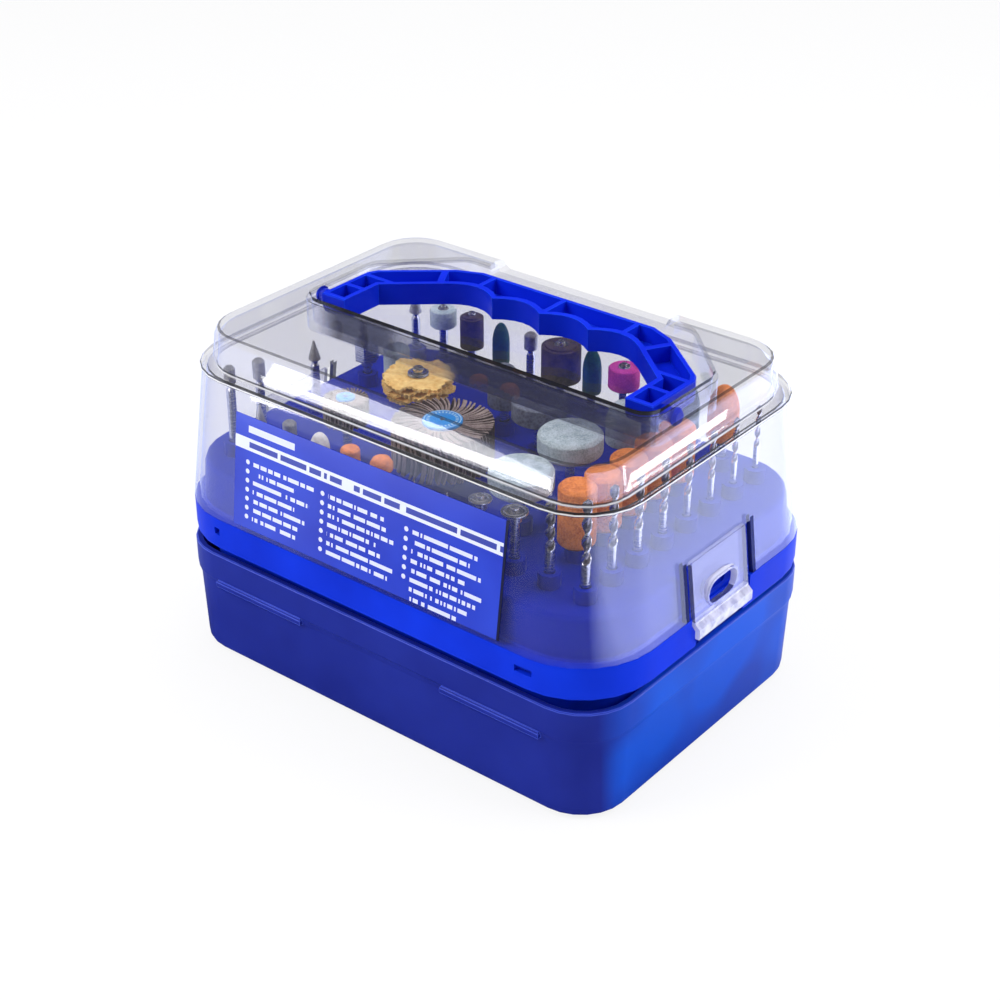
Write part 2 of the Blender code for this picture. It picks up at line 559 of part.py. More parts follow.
def make_latch(name, s):
    def out(z):
        return BX - (z - LID_Z) * LEAN
    t = LID_WALL
    z0 = LIP_Z - LIP_H
    prof = [(out(LATCH_TOP), LATCH_TOP), (out(LATCH_TOP) - t, LATCH_TOP), (out(LIP_Z) - t, LIP_Z - 0.6),
            (out(LIP_Z) - t + LIP_OUT, LIP_Z - 2.4), (out(LIP_Z) - t + LIP_OUT, z0 + 0.2),
            (out(LIP_Z) - t + LIP_OUT + 0.3, z0), (out(LIP_Z) + LIP_OUT, z0),
            (out(LIP_Z) + LIP_OUT + 0.2, z0 + 0.3), (out(LIP_Z) + LIP_OUT + 0.2, LIP_Z - 1.6),
            (out(LIP_Z), LIP_Z)]
    y = LATCH_HALF
    latch = body(name, [[[(s * px, yy, pz) for px, pz in prof] for yy in (-y, y)]], "lid")
    c = CATCH_CLEAR
    x, w = out(CATCH_Z), c + RING_W
    ring = body("c_ring", [[stadium(s * px, CATCH_L / 2 + w - d, CATCH_H / 2 + w - d, CATCH_Z)
                            for px, d in ((x - t / 2, 0.0), (x + RING_OUT, 0.0), (x + RING_OUT + 0.3, 0.3))]])
    boolean(latch, ring, "UNION")
    bake(latch, ring)
    hole = body("c_hole", [[stadium(s * x, CATCH_L / 2 + c, CATCH_H / 2 + c, CATCH_Z)
                            for x in (BX - 6.0, BX + 4.0)]])
    boolean(latch, hole, "DIFFERENCE")
    bake(latch, hole)
    return latch


def make_label():
    def face(z):
        return -(BY - (z - LID_Z) * LEAN)
    (x0, x1), (z0, z1) = LABEL_X, LABEL_Z
    g = LABEL_GAP
    loops = []
    for off in (g, g + LABEL_T):
        loops.append([(x0, face(z0) - off, z0), (x1, face(z0) - off, z0),
                      (x1, face(z1) - off, z1), (x0, face(z1) - off, z1)])
    return body("label", [loops], "label")


# ---- handle ---------------------------------------------------------------------------------
def handle_outer(d=0.0):
    x, y = HAND_X, GRIP_OUT
    right = [(x, ARM_END), (x, y - 25.5), (x - 1.8, y - 21.9), (x - 23.5, y - 4.0), (x - 33.0, y)]
    return offset_poly([(-x, ARM_END)] + right + [(-px, py) for px, py in right[:0:-1]], d)


def grip_in(x):
    u = (x / SCALLOP_PITCH) % 1.0 * 2.0 - 1.0
    return GRIP_IN + SCALLOP_DEPTH * (1.0 - u * u)


def scallop_line(x0, x1, d, n):
    return [(x0 + (x1 - x0) * i / n, grip_in(x0 + (x1 - x0) * i / n) + d) for i in range(n + 1)]


def handle_well(d=0.0):
    """Space inside the U, grown outward by d."""
    run, rise = ARM_IN - GRIP_HALF, GRIP_IN - BEND_IN
    ln = hypot(run, rise)
    bend = BEND_IN + d * (ln - rise) / run
    return ([(-ARM_IN - d, ARM_END - 5.0), (ARM_IN + d, ARM_END - 5.0), (ARM_IN + d, bend)]
            + scallop_line(GRIP_HALF, -GRIP_HALF, d * ln / run, SCALLOPS * 6) + [(-ARM_IN - d, bend)])


def make_handle():
    def prism(pts, z0, z1):
        return [[(x, y, z) for x, y in pts] for z in (z0, z1)]
    e = 0.6
    handle = body("handle", [[[(x, y, z) for x, y in handle_outer(d)] for d, z in (
        (-e, HAND_BOT), (0.0, HAND_BOT + e), (0.0, HAND_TOP - 0.4), (-0.4, HAND_TOP))]], "handle")
    well = body("c_well", [prism(handle_well(), HAND_BOT - 2.0, HAND_TOP + 2.0)])
    boolean(handle, well, "DIFFERENCE")
    bake(handle, well)
    # the top is a channel, divided by cross ribs
    c, rib = CHANNEL_WALL, 0.9
    channel = body("c_channel", [prism(handle_outer(-c), HAND_BOT + CHANNEL_FLOOR, HAND_TOP + 2.0)])
    core = body("c_core", [prism(handle_well(c), HAND_BOT, HAND_TOP + 4.0)])
    boolean(channel, core, "DIFFERENCE")
    bake(channel, core)
    z = (HAND_BOT, HAND_TOP + 4.0)
    ribs = [box(x - rib, x + rib, GRIP_IN - 4.0, GRIP_OUT + 4.0, *z) for x in (-31.0, 0.0, 31.0)]
    for s in (-1, 1):
        x0, x1 = sorted((s * (ARM_IN - 4.0), s * (HAND_X + 4.0)))
        ribs += [box(x0, x1, y - rib, y + rib, *z) for y in (PIVOT_Y + 5.6, BEND_IN + 4.0)]
        ribs.append([[(s * (GRIP_HALF - 1.0 + a), GRIP_IN - 4.0 + b, h), (s * (GRIP_HALF + 1.2 + a), GRIP_IN - 5.0 + b, h),
                      (s * (GRIP_HALF + 13.2 + a), GRIP_OUT + b, h), (s * (GRIP_HALF + 11.0 + a), GRIP_OUT + 1.0 + b, h)]
                     for a, b, h in ((0.0, 0.0, z[0]), (0.0, 0.0, z[1]))])
    stays = body("c_ribs", ribs)
    boolean(channel, stays, "DIFFERENCE")
    bake(channel, stays)
    boolean(handle, channel, "DIFFERENCE")
    bake(handle, channel)
    # round the underside of each heel about the pivot, then add the barbed pins
    n = 8
    arc = [(PIVOT_Y + HEEL_R * cos(a), PIVOT_Z + HEEL_R * sin(a))
           for a in (radians(180 + 90.0 * i / n) for i in range(n + 1))]
    corner = [(ARM_END - 3.0, PIVOT_Z)] + arc + [(PIVOT_Y, PIVOT_Z - HEEL_R - 6.0),
                                                 (ARM_END - 3.0, PIVOT_Z - HEEL_R - 6.0)]
    heel = body("c_heel", [[[(x, y, z) for y, z in corner] for x in (-HAND_X - 3.0, HAND_X + 3.0)]])
    boolean(handle, heel, "DIFFERENCE")
    bake(handle, heel)
    pins = []
    wall = POCKET_X + LID_WALL
    for s in (-1, 1):
        prof = ((HAND_X - CHANNEL_WALL / 2, PIN_R), (wall + GAP, PIN_R), (wall + GAP, BARB_R),
                (wall + GAP + 0.5, BARB_R), (wall + GAP + 1.6, PIN_R - 0.3))
        pins.append([[(s * x, PIVOT_Y + r * cos(2 * pi * i / 16), PIVOT_Z + r * sin(2 * pi * i / 16))
                      for i in range(16)] for x, r in prof])
    pin = body("c_pin", pins)
    boolean(handle, pin, "UNION")
    bake(handle, pin)
    return handle


# ---- bits -----------------------------------------------------------------------------------
def make_drill(name, x, y, size, mat):
    """Round shank that turns into a two-flute twist and a conical point."""
    r, tip = size
    n, z0 = 8, SHANK_END
    flute0 = BOSS_TOP + 6.0
    steps = 10
    bm = bmesh.new()
    loops = [disc(x, y, r, z0, n), disc(x, y, r, flute0 - 0.8, n)]
    top = tip - r * 0.6
    pitch = 11.0
    for i in range(steps + 1):
        z = flute0 + (top - flute0) * i / steps
        a0 = 2 * pi * (z - flute0) / pitch
        lp = []
        for j in range(n):
            a = 2 * pi * j / n
            k = 0.5 + 0.5 * cos(2 * a)
            rr = r * (1.0 - 0.42 * (1.0 - k) ** 1.5)
            lp.append((x + rr * cos(a + a0), y + rr * sin(a + a0), z))
        loops.append(lp)
    last = loops[-1]
    loops.append([(x + (px - x) * 0.12, y + (py - y) * 0.12, tip) for px, py, pz in last])
    loft_into(bm, loops)
    return finish_mesh(name, bm, mat, 30.0)


def make_flap(name, x, y, size, mat, flaps):
    """Radial flaps round a core: a toothed ring, with its hub and screw as one body."""
    r, h, top = size
    n = flaps * 2
    z0 = top - h
    bm = bmesh.new()

    def ring(rr, dip, z):
        return [(x + (rr - dip * (i % 2)) * cos(2 * pi * (i + 0.35 * (i % 2)) / n),
                 y + (rr - dip * (i % 2)) * sin(2 * pi * (i + 0.35 * (i % 2)) / n), z) for i in range(n)]
    shank = [disc(x, y, SHANK_R, z, n) for z in (SHANK_END, z0)]
    loft_into(bm, shank + [ring(r - 0.5, r * 0.14, z0), ring(r, r * 0.14, z0 + 1.0),
                           ring(r, r * 0.14, top - 1.0), ring(r - 0.5, r * 0.14, top),
                           disc(x, y, r * 0.44, top, n), disc(x, y, r * 0.42, top + 0.8, n)])
    return finish_mesh(name, bm, mat, 30.0)


def make_buff(name, x, y, size, mat):
    """Layered cloth disc with a wavy edge, on a screw mandrel."""
    r, h, top = size
    n, z0 = 18, top - h
    bm = bmesh.new()

    def ring(rr, z, k):
        return [(x + (rr + 0.5 * sin(5 * 2 * pi * i / n + k)) * cos(2 * pi * i / n),
                 y + (rr + 0.5 * sin(5 * 2 * pi * i / n + k)) * sin(2 * pi * i / n), z) for i in range(n)]
    loops = [disc(x, y, SHANK_R, SHANK_END, n), disc(x, y, SHANK_R, z0 - 1.0, n),
             disc(x, y, 3.6, z0 - 1.0, n), disc(x, y, 3.6, z0 + 0.8, n)]
    for i in range(3):
        za, zb = z0 + h * i / 3, z0 + h * (i + 1) / 3
        loops += [ring(r - 1.0, za + 0.05, i), ring(r, (za + zb) / 2, i)]
    loops += [ring(r - 1.2, top, 4), disc(x, y, 4.2, top - 0.8, n), disc(x, y, 4.2, top + 0.2, n),
              disc(x, y, 2.6, top + 0.4, n), disc(x, y, 2.3, top + 1.8, n)]
    loft_into(bm, loops)
    return finish_mesh(name, bm, mat, 40.0)


def shank_to(z, extra=()):
    return [(0, SHANK_END), (SHANK_R, SHANK_END), (SHANK_R, z)] + list(extra)


def make_bit(name, kind, x, y, size, mat):
    if kind == "drill":
        return make_drill(name, x, y, size, mat)
    if kind == "flap":
        return make_flap(name, x, y, size, mat, 24)
    if kind == "flapsmall":
        return make_flap(name, x, y, size, mat, 12)
    if kind == "buff":
        return make_buff(name, x, y, size, mat)
    if kind in ("mandrel", "screw", "cap"):
        r, top = size
        if kind == "mandrel":
            prof = shank_to(top - 5.0, [(2.3, top - 5.0), (2.3, top - 2.2), (r, top - 2.0), (r, top - 1.2),
                                        (2.2, top - 1.1), (2.0, top), (0, top)])
        elif kind == "screw":
            prof = shank_to(top - 8.0, [(r + 0.6, top - 8.0), (r + 0.6, top - 6.6), (r * 0.7, top - 6.2),
                                        (r * 0.8, top - 3.0), (r, top - 2.6), (0.3, top), (0, top)])
        else:
            prof = shank_to(top - 5.6, [(r - 1.0, top - 5.6), (r, top - 4.8), (r, top - 2.4),
                                        (r * 0.75, top - 0.8), (r * 0.35, top), (0, top)])
        return lathe(name, x, y, prof, mat, 8)
    r, h, top = size
    z0 = top - h
    n = 14 if r > 5 else 8
    if kind in ("stone", "bigstone"):
        c = min(1.2, r * 0.25)
        prof = shank_to(z0, [(r - c, z0), (r, z0 + c), (r, top - c), (r - c, top), (0, top)])
    elif kind == "bullet":
        prof = shank_to(z0, [(r * 0.9, z0), (r, z0 + 0.8), (r, z0 + h * 0.5)])
        prof += [(r * cos(a), z0 + h * 0.5 + h * 0.5 * sin(a)) for a in (0.35, 0.75, 1.15)] + [(0, top)]
    elif kind == "burr":
        prof = shank_to(z0 - 2.0, [(1.1, z0 - 1.0), (1.1, z0), (r, z0 + 0.8), (r, top - 0.9), (r * 0.6, top), (0, top)])
    elif kind == "cone":
        prof = shank_to(z0 - 2.0, [(1.1, z0 - 1.0), (1.1, z0), (r, z0 + 0.8), (r * 0.9, z0 + 2.0), (0.3, top), (0, top)])
    elif kind in ("wheel", "felt"):
        prof = shank_to(z0, [(r - 0.5, z0), (r, z0 + 0.6), (r, top - 0.6), (r - 0.5, top), (r * 0.4, top),
                             (r * 0.38, top + 0.6), (r * 0.2, top + 1.4), (0, top + 1.4)])
    elif kind == "drum":
        prof = shank_to(z0 - 1.0, [(r * 0.6, z0 - 1.0), (r * 0.6, z0), (r, z0), (r, top), (r * 0.82, top),
                                   (r * 0.8, top + 0.6), (r * 0.36, top + 0.7), (r * 0.33, top + 2.0), (0, top + 2.0)])
    else:                 # nut
        prof = shank_to(z0 - 3.0, [(2.4, z0 - 2.0), (2.4, z0), (r, z0), (r, top - 1.2), (r - 1.4, top), (0, top)])
    return lathe(name, x, y, prof, mat, 6 if kind == "nut" else n)


# ---- loose stock in the tub -----------------------------------------------------------------
def stack(name, x, y, r, bore, count, t, mat):
    """A pile of thin discs on one core; every other one is set in a little."""
    z = FOOT_H + TUB_FLOOR + GAP
    n = 16
    outer = []
    for i in range(count):
        rr = r if i % 2 == 0 else r - 0.5
        outer += [(rr, z + t * i), (rr, z + t * (i + 1))]
    bm = bmesh.new()
    rows = [[bm.verts.new((px * MM, py * MM, pz * MM)) for px, py, pz in disc(x, y, rr, zz, n)]
            for rr, zz in outer + [(bore, z + t * count), (bore, z)]]
    for a, b in zip(rows, rows[1:] + rows[:1]):
        for i in range(n):
            j = (i + 1) % n
            bm.faces.new((a[i], a[j], b[j], b[i]))
    return finish_mesh(name, bm, mat)


make_tub()
make_tray()
make_lid()
make_latch("latch_left", -1)
make_latch("latch_right", 1)
make_label()
make_handle()
for spot in SPOTS:
    make_bit(*spot)
stack("cut_off_discs_1", DIVIDER_X[0] - 27.0, -27.0, 16.0, 2.4, 3, 4.0, "disc")
stack("cut_off_discs_2", DIVIDER_X[1] + 30.0, -28.0, 16.0, 2.4, 3, 4.0, "disc")
stack("sanding_discs", DIVIDER_X[0] - 27.0, 24.0, 10.0, 2.0, 3, 3.6, "sand")
stack("felt_discs", 0.0, -26.0, 12.5, 2.0, 3, 5.0, "felt")
stack("sanding_bands", DIVIDER_X[1] + 28.0, 22.0, 7.5, 6.2, 2, 8.0, "sand")
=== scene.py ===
# %% [markdown]
# # A case of rotary-tool bits
#
# The frame brings in the solids of the case: a tub, a tray of bits, a clear lid and a folding grip.
# This file gives each of them its finish, and rebuilds the pieces whose real form is finer than the
# solids are. Everything is in metres. X runs along the case, the label faces -Y, and Z is up.

# %% Load the frame
import bpy
import json
from math import sin, cos, pi, radians, hypot
from mathutils import Vector, Matrix


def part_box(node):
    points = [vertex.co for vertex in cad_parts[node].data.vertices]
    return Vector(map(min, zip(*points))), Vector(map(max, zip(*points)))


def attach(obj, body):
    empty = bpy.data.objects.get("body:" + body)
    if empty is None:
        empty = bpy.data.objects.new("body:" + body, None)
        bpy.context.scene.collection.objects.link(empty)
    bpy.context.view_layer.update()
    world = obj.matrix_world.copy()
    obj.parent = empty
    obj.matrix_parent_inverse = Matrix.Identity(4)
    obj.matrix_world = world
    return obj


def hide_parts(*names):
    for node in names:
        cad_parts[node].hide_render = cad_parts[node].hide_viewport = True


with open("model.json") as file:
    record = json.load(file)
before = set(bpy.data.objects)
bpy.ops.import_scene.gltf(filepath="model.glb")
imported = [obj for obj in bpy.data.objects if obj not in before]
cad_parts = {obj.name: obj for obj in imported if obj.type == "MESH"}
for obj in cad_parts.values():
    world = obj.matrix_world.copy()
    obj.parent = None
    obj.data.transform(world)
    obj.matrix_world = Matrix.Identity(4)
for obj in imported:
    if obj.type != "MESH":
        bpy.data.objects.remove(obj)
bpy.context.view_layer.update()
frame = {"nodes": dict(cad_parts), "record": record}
NODES = frame["nodes"]
SLOT_OF = {s["node"]: s["material_slot"] for s in frame["record"]["subparts"]}
BODY_OF = {n: b for b, ns in frame["record"]["behaviour"]["bodies"].items() for n in ns}
MM = 0.001
WHITE = (1.0, 1.0, 1.0, 1.0)
BIT_FOOT, SHANK_R = 0.0683, 0.0016      # every bit stands at this height, on a shank of this radius

# %% [markdown]
# ## Helpers for working as by hand
#
# An operator acts on whatever is selected, so every step starts from nothing selected. A copy of a
# CAD node is loose triangles: its doubles are merged and its flat parts dissolved back to whole faces,
# after which its edges can be bevelled as on a mould.

# %% Selection and copies
def alone(ob=None):
    """Deselect everything, then select and activate one object."""
    if bpy.context.object and bpy.context.object.mode != "OBJECT":
        bpy.ops.object.mode_set(mode="OBJECT")
    bpy.ops.object.select_all(action="DESELECT")
    if ob:
        ob.select_set(True)
        bpy.context.view_layer.objects.active = ob


def apply_modifiers(ob):
    alone(ob)
    for m in list(ob.modifiers):
        bpy.ops.object.modifier_apply(modifier=m.name)


def smooth(ob, angle):
    """Shade smooth, but keep the edges that are sharper than the angle in degrees."""
    alone(ob)
    bpy.ops.object.shade_smooth_by_angle(angle=radians(angle))


def copy_of(node, name):
    """The node's mesh as a new object, welded and with its flat parts made whole."""
    ob = bpy.data.objects.new(name, NODES[node].data.copy())
    bpy.context.scene.collection.objects.link(ob)
    ob.data.materials.clear()
    alone(ob)
    bpy.ops.object.mode_set(mode="EDIT")
    bpy.ops.mesh.select_all(action="SELECT")
    bpy.ops.mesh.remove_doubles(threshold=1e-6)
    bpy.ops.mesh.dissolve_limited(angle_limit=radians(0.6))
    bpy.ops.object.mode_set(mode="OBJECT")
    return ob


def rounded_edges(ob, width, segments=2, angle=32.0, lit=False):
    """Break the sharp edges as a mould does, then shade smooth across them. lit gives them finish two; on
    the blue shells that is a lighter blue, a painted highlight.
    """
    edge = ob.modifiers.new("edge", "BEVEL")
    if lit:
        edge.material = 1
    edge.width, edge.segments = width, segments
    edge.limit_method, edge.angle_limit = "ANGLE", radians(angle)
    apply_modifiers(ob)
    smooth(ob, angle + 6.0)
    flat = ob.modifiers.new("flat", "WEIGHTED_NORMAL")      # large faces keep their own direction
    flat.weight, flat.keep_sharp = 100, True
    apply_modifiers(ob)


def settle(ob, node):
    """Let the piece ride with its node's body and stand in its place, with the node hidden."""
    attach(ob, BODY_OF[node])
    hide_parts(node)


# %% [markdown]
# ## Camera and studio
#
# The photograph was taken with a normal-to-long lens from above the near right corner. The camera
# stands where its perspective puts it. Clear plastic is known by what it mirrors, so the studio is
# made of four things: a world that is white to the camera and dim in mirrors, a pale floor that
# mirrors see brighter beside the case, soft lamps for the opaque pieces, and two white cards that
# only mirrors see, which put the broad white bands on the dome.

# %% Camera
AIM = Vector((-0.8, 5.64, 57.69)) * MM
AZIMUTH, ELEVATION = radians(38.665), radians(29.851)
DISTANCE, LENS = 680.4 * MM, 69.97


def toward(azimuth, elevation):
    """Unit vector from the case: azimuth 0 is the label's side, 90 degrees the right-hand latch."""
    return Vector((sin(azimuth) * cos(elevation), -cos(azimuth) * cos(elevation), sin(elevation)))


TO_CAMERA = toward(AZIMUTH, ELEVATION)
bpy.ops.object.camera_add(location=AIM + TO_CAMERA * DISTANCE)
camera = bpy.context.object
camera.rotation_euler = TO_CAMERA.to_track_quat("Z", "Y").to_euler()
camera.data.lens, camera.data.sensor_width = LENS, 36.0
camera.data.clip_start = 0.01
scene = bpy.context.scene
scene.camera = camera
scene.view_settings.view_transform = "Standard"
scene.cycles.transparent_max_bounces = 48


# %% Shader nodes in a line each
def wire(nt, kind, *sources, **settings):
    """A node with its first inputs set from sockets or numbers, and its properties from settings."""
    n = nt.nodes.new("ShaderNode" + kind)
    for k, v in settings.items():
        setattr(n, k, v)
    for i, src in enumerate(sources):
        if src is None:
            continue
        if isinstance(src, bpy.types.NodeSocket):
            nt.links.new(src, n.inputs[i])
        else:
            n.inputs[i].default_value = src
    return n


def calc(nt, operation, *values):
    """One Math node's result."""
    return wire(nt, "Math", *values, operation=operation).outputs[0]


def dot(nt, a, b):
    return wire(nt, "VectorMath", a, b, operation="DOT_PRODUCT").outputs["Value"]


def spread(nt, source, a, b, c=0.0, d=1.0):
    """The source's range a to b laid over c to d, held at the ends."""
    return wire(nt, "MapRange", source, a, b, c, d).outputs[0]


def between(nt, value, low, high):
    """1 where the value lies between two limits, else 0."""
    return calc(nt, "MULTIPLY", calc(nt, "GREATER_THAN", value, low), calc(nt, "LESS_THAN", value, high))


def chain(nt, operation, *values):
    """The operation taken through all the values, one after another."""
    out = values[0]
    for v in values[1:]:
        out = calc(nt, operation, out, v)
    return out


def product(nt, *factors):
    return chain(nt, "MULTIPLY", *factors)


def length_of(nt, a, b):
    """The length of the vector with these two parts."""
    return calc(nt, "SQRT", calc(nt, "ADD", calc(nt, "MULTIPLY", a, a), calc(nt, "MULTIPLY", b, b)))


def coords_of(nt):
    """Object coordinates as one vector, and as X, Y and Z."""
    at = wire(nt, "TexCoord").outputs["Object"]
    return (at, *wire(nt, "SeparateXYZ", at).outputs)


def straight_rays(nt):
    """1 for the camera, for mirrors and for clear plastic, 0 for light that falls on things."""
    path = wire(nt, "LightPath").outputs
    return chain(nt, "MAXIMUM", path["Is Camera Ray"], path["Is Glossy Ray"], path["Is Transmission Ray"])


# %% World: white to the camera; in mirrors dark round the camera, and dim across from it
world = bpy.data.worlds.new("studio")
scene.world = world
world.use_nodes = True
wt = world.node_tree
sky = wt.nodes["Background"]
sky.inputs["Color"].default_value = (0.93, 0.95, 1.0, 1.0)
sky.inputs["Strength"].default_value = 0.34
way = wire(wt, "TexCoord").outputs["Generated"]
around_lens = spread(wt, dot(wt, way, tuple(TO_CAMERA)), 0.6, 0.9, 0.45, 0.08)
across = dot(wt, way, (-TO_CAMERA.x, -TO_CAMERA.y, TO_CAMERA.z))
room = product(wt, around_lens, spread(wt, across, 0.8, 0.95, 1.0, 0.2))
in_mirror = wire(wt, "LightPath").outputs["Is Glossy Ray"]
level = wire(wt, "Mix", in_mirror, None, 1.0, room, data_type="FLOAT")
shown = wire(wt, "Background", WHITE, level.outputs[0])
pick = wire(wt, "MixShader", straight_rays(wt), sky.outputs[0], shown.outputs[0])
wt.links.new(pick.outputs[0], wt.nodes["World Output"].inputs[0])

# %% Floor: paper, with a bluish sheen to the right and left that only mirrors see
bpy.ops.mesh.primitive_plane_add(size=6.0, location=(0, 0, -0.0004))
floor = bpy.context.object
floor.name = "floor"
floor_mat = bpy.data.materials.new("paper_sweep")
floor_mat.use_nodes = True
ft = floor_mat.node_tree
paper = ft.nodes["Principled BSDF"]
paper.inputs["Base Color"].default_value = (0.9, 0.9, 0.92, 1.0)
paper.inputs["Roughness"].default_value = 0.9
share = product(ft, straight_rays(ft), 0.86)
glow = wire(ft, "Emission", WHITE, 1.0)
seen = wire(ft, "MixShader", share, paper.outputs[0], glow.outputs[0])
spot = wire(ft, "NewGeometry").outputs["Position"]
to_right = spread(ft, dot(ft, spot, (0.8, 0.6, 0.0)), 0.07, 0.18, 0.15, 3.2)
to_left = spread(ft, dot(ft, spot, (-1.0, 0.0, 0.0)), 0.09, 0.16, 0.0, 1.2)
sheen = wire(ft, "Emission", (0.62, 0.69, 1.0, 1.0), calc(ft, "MAXIMUM", to_right, to_left))
in_mirror = wire(ft, "LightPath").outputs["Is Glossy Ray"]
both = wire(ft, "MixShader", in_mirror, seen.outputs[0], sheen.outputs[0])
ft.links.new(both.outputs[0], ft.nodes["Material Output"].inputs[0])
floor.data.materials.append(floor_mat)


# %% Lamps and cards
def softbox(name, azimuth, elevation, distance, side, watts):
    """A square lamp that faces the case and is not seen itself."""
    d = toward(radians(azimuth), radians(elevation))
    bpy.ops.object.light_add(type="AREA", location=Vector((0, 0, 0.06)) + d * distance)
    lamp = bpy.context.object
    lamp.name = name
    lamp.rotation_euler = d.to_track_quat("Z", "Y").to_euler()
    lamp.data.shape = "RECTANGLE"
    lamp.data.size = lamp.data.size_y = side
    lamp.data.energy = watts
    lamp.visible_camera = False
    lamp.visible_glossy = False


def mirror_card(name, wall_normal, at, distance, size, strength, roll=0.0):
    """A card parallel to a wall, where the camera sees it mirrored round a point of that wall."""
    n = Vector(wall_normal).normalized()
    r = n * (2.0 * n.dot(TO_CAMERA)) - TO_CAMERA
    face = Vector((n.x, n.y, 0.0)).normalized()
    bpy.ops.mesh.primitive_plane_add(size=1.0, location=Vector(at) + r * (distance / r.dot(face)))
    card = bpy.context.object
    card.name = name
    upright = face.to_track_quat("Z", "Y").to_matrix()
    card.rotation_euler = (upright @ Matrix.Rotation(radians(roll), 3, "Z")).to_euler()
    card.scale = (*size, 1.0)
    m = bpy.data.materials.new(name)
    m.use_nodes = True
    light = wire(m.node_tree, "Emission", WHITE, strength)
    m.node_tree.links.new(light.outputs[0], m.node_tree.nodes["Material Output"].inputs[0])
    card.data.materials.append(m)
    for ray in ("camera", "diffuse", "transmission", "volume_scatter", "shadow"):
        setattr(card, "visible_" + ray, False)


DOME_LEAN = 0.115          # how far a dome wall's normal tips up
softbox("key_softbox", azimuth=-38.0, elevation=40.0, distance=1.2, side=0.7, watts=10.0)
softbox("side_softbox", azimuth=118.0, elevation=32.0, distance=1.2, side=0.7, watts=8.0)
softbox("top_softbox", azimuth=180.0, elevation=80.0, distance=1.3, side=1.0, watts=11.0)
mirror_card("card_right", (1.0, 0.0, DOME_LEAN), at=(0.084, -0.011, 0.1195), distance=0.08,
            size=(0.092, 0.008), strength=14.0)
mirror_card("card_front", (0.0, -1.0, DOME_LEAN), at=(0.003, -0.056, 0.1222), distance=0.12,
            size=(0.162, 0.012), strength=10.0, roll=3.5)
print("camera", [round(v, 3) for v in camera.location])

# %% [markdown]
# ## Finishes
#
# An opaque finish is one Principled shader. Clear plastic is mixed from a see-through and a shiny
# shader, and what it mirrors decides how milky each wall looks. Two small effects are shared as node
# groups: the fine orange-peel of moulded plastic, and a dust of grit for stones and abrasives. Both
# read Object coordinates, so that they stay on the piece.

# %% Shared effects
def group(name, scale, *outs):
    """A node group with one input, Scale, and these float outputs."""
    g = bpy.data.node_groups.new(name, "ShaderNodeTree")
    size = g.interface.new_socket(name="Scale", in_out="INPUT", socket_type="NodeSocketFloat")
    size.default_value = scale
    for n in outs:
        g.interface.new_socket(name=n, in_out="OUTPUT", socket_type="NodeSocketFloat")
    return g, g.nodes.new("NodeGroupInput"), g.nodes.new("NodeGroupOutput")


def noise(nt, at, scale, detail=2.0):
    n = wire(nt, "TexNoise", at)
    n.inputs["Scale"].default_value = scale
    n.inputs["Detail"].default_value = detail
    return n.outputs["Fac"]


def make_peel():
    """Fine waviness of a moulded face, and broad drifts of its colour and gloss."""
    g, gin, gout = group("moulded_peel", 900.0, "Height", "Drift")
    at = wire(g, "TexCoord").outputs["Object"]
    fine = wire(g, "TexNoise", at)
    g.links.new(gin.outputs["Scale"], fine.inputs["Scale"])
    g.links.new(fine.outputs["Fac"], gout.inputs["Height"])
    g.links.new(spread(g, noise(g, at, 38.0), 0.3, 0.7), gout.inputs["Drift"])
    return g


def make_grit():
    """Grains of an abrasive: a speckle of light and dark, and its height."""
    g, gin, gout = group("abrasive_grit", 1500.0, "Speckle", "Height")
    at = wire(g, "TexCoord").outputs["Object"]
    cell = wire(g, "TexVoronoi", at)
    g.links.new(gin.outputs["Scale"], cell.inputs["Scale"])
    speckle = calc(g, "MULTIPLY_ADD", cell.outputs["Distance"], 0.55, noise(g, at, 260.0, 4.0))
    g.links.new(speckle, gout.inputs["Speckle"])
    g.links.new(cell.outputs["Distance"], gout.inputs["Height"])
    return g


PEEL, GRIT = make_peel(), make_grit()


def place_group(nt, g, **values):
    n = nt.nodes.new("ShaderNodeGroup")
    n.node_tree = g
    for k, v in values.items():
        n.inputs[k].default_value = v
    return n


def plain(name, color, roughness, **sockets):
    """One Principled shader; any other of its sockets by name, with _ for a space."""
    m = bpy.data.materials.new(name)
    m.use_nodes = True
    p = m.node_tree.nodes["Principled BSDF"]
    p.inputs["Base Color"].default_value = (*color, 1.0)
    p.inputs["Roughness"].default_value = roughness
    for k, v in sockets.items():
        p.inputs[k.replace("_", " ")].default_value = v
    return m, m.node_tree, p


def bump(nt, height, strength, distance, p):
    b = wire(nt, "Bump")
    b.inputs["Strength"].default_value = strength
    b.inputs["Distance"].default_value = distance
    nt.links.new(height, b.inputs["Height"])
    nt.links.new(b.outputs["Normal"], p.inputs["Normal"])


def two_tones(nt, fac, dark, light):
    """A mix of two colours, each a socket or a tuple."""
    m = wire(nt, "Mix", fac, data_type="RGBA")
    for i, tone in ((6, dark), (7, light)):      # where this node keeps its colours
        if isinstance(tone, bpy.types.NodeSocket):
            nt.links.new(tone, m.inputs[i])
        else:
            m.inputs[i].default_value = (*tone, 1.0)
    return m.outputs[2]


def moulded(name, dark, light, roughness, specular):
    """Opaque moulded plastic: slightly uneven colour and gloss, fine peel."""
    m, nt, p = plain(name, light, roughness, Specular_IOR_Level=specular)
    peel = place_group(nt, PEEL)
    nt.links.new(two_tones(nt, peel.outputs["Drift"], dark, light), p.inputs["Base Color"])
    nt.links.new(spread(nt, peel.outputs["Drift"], 0.0, 1.0, roughness - 0.05, roughness + 0.07),
                 p.inputs["Roughness"])
    bump(nt, peel.outputs["Height"], 0.35, 0.00002, p)
    return m


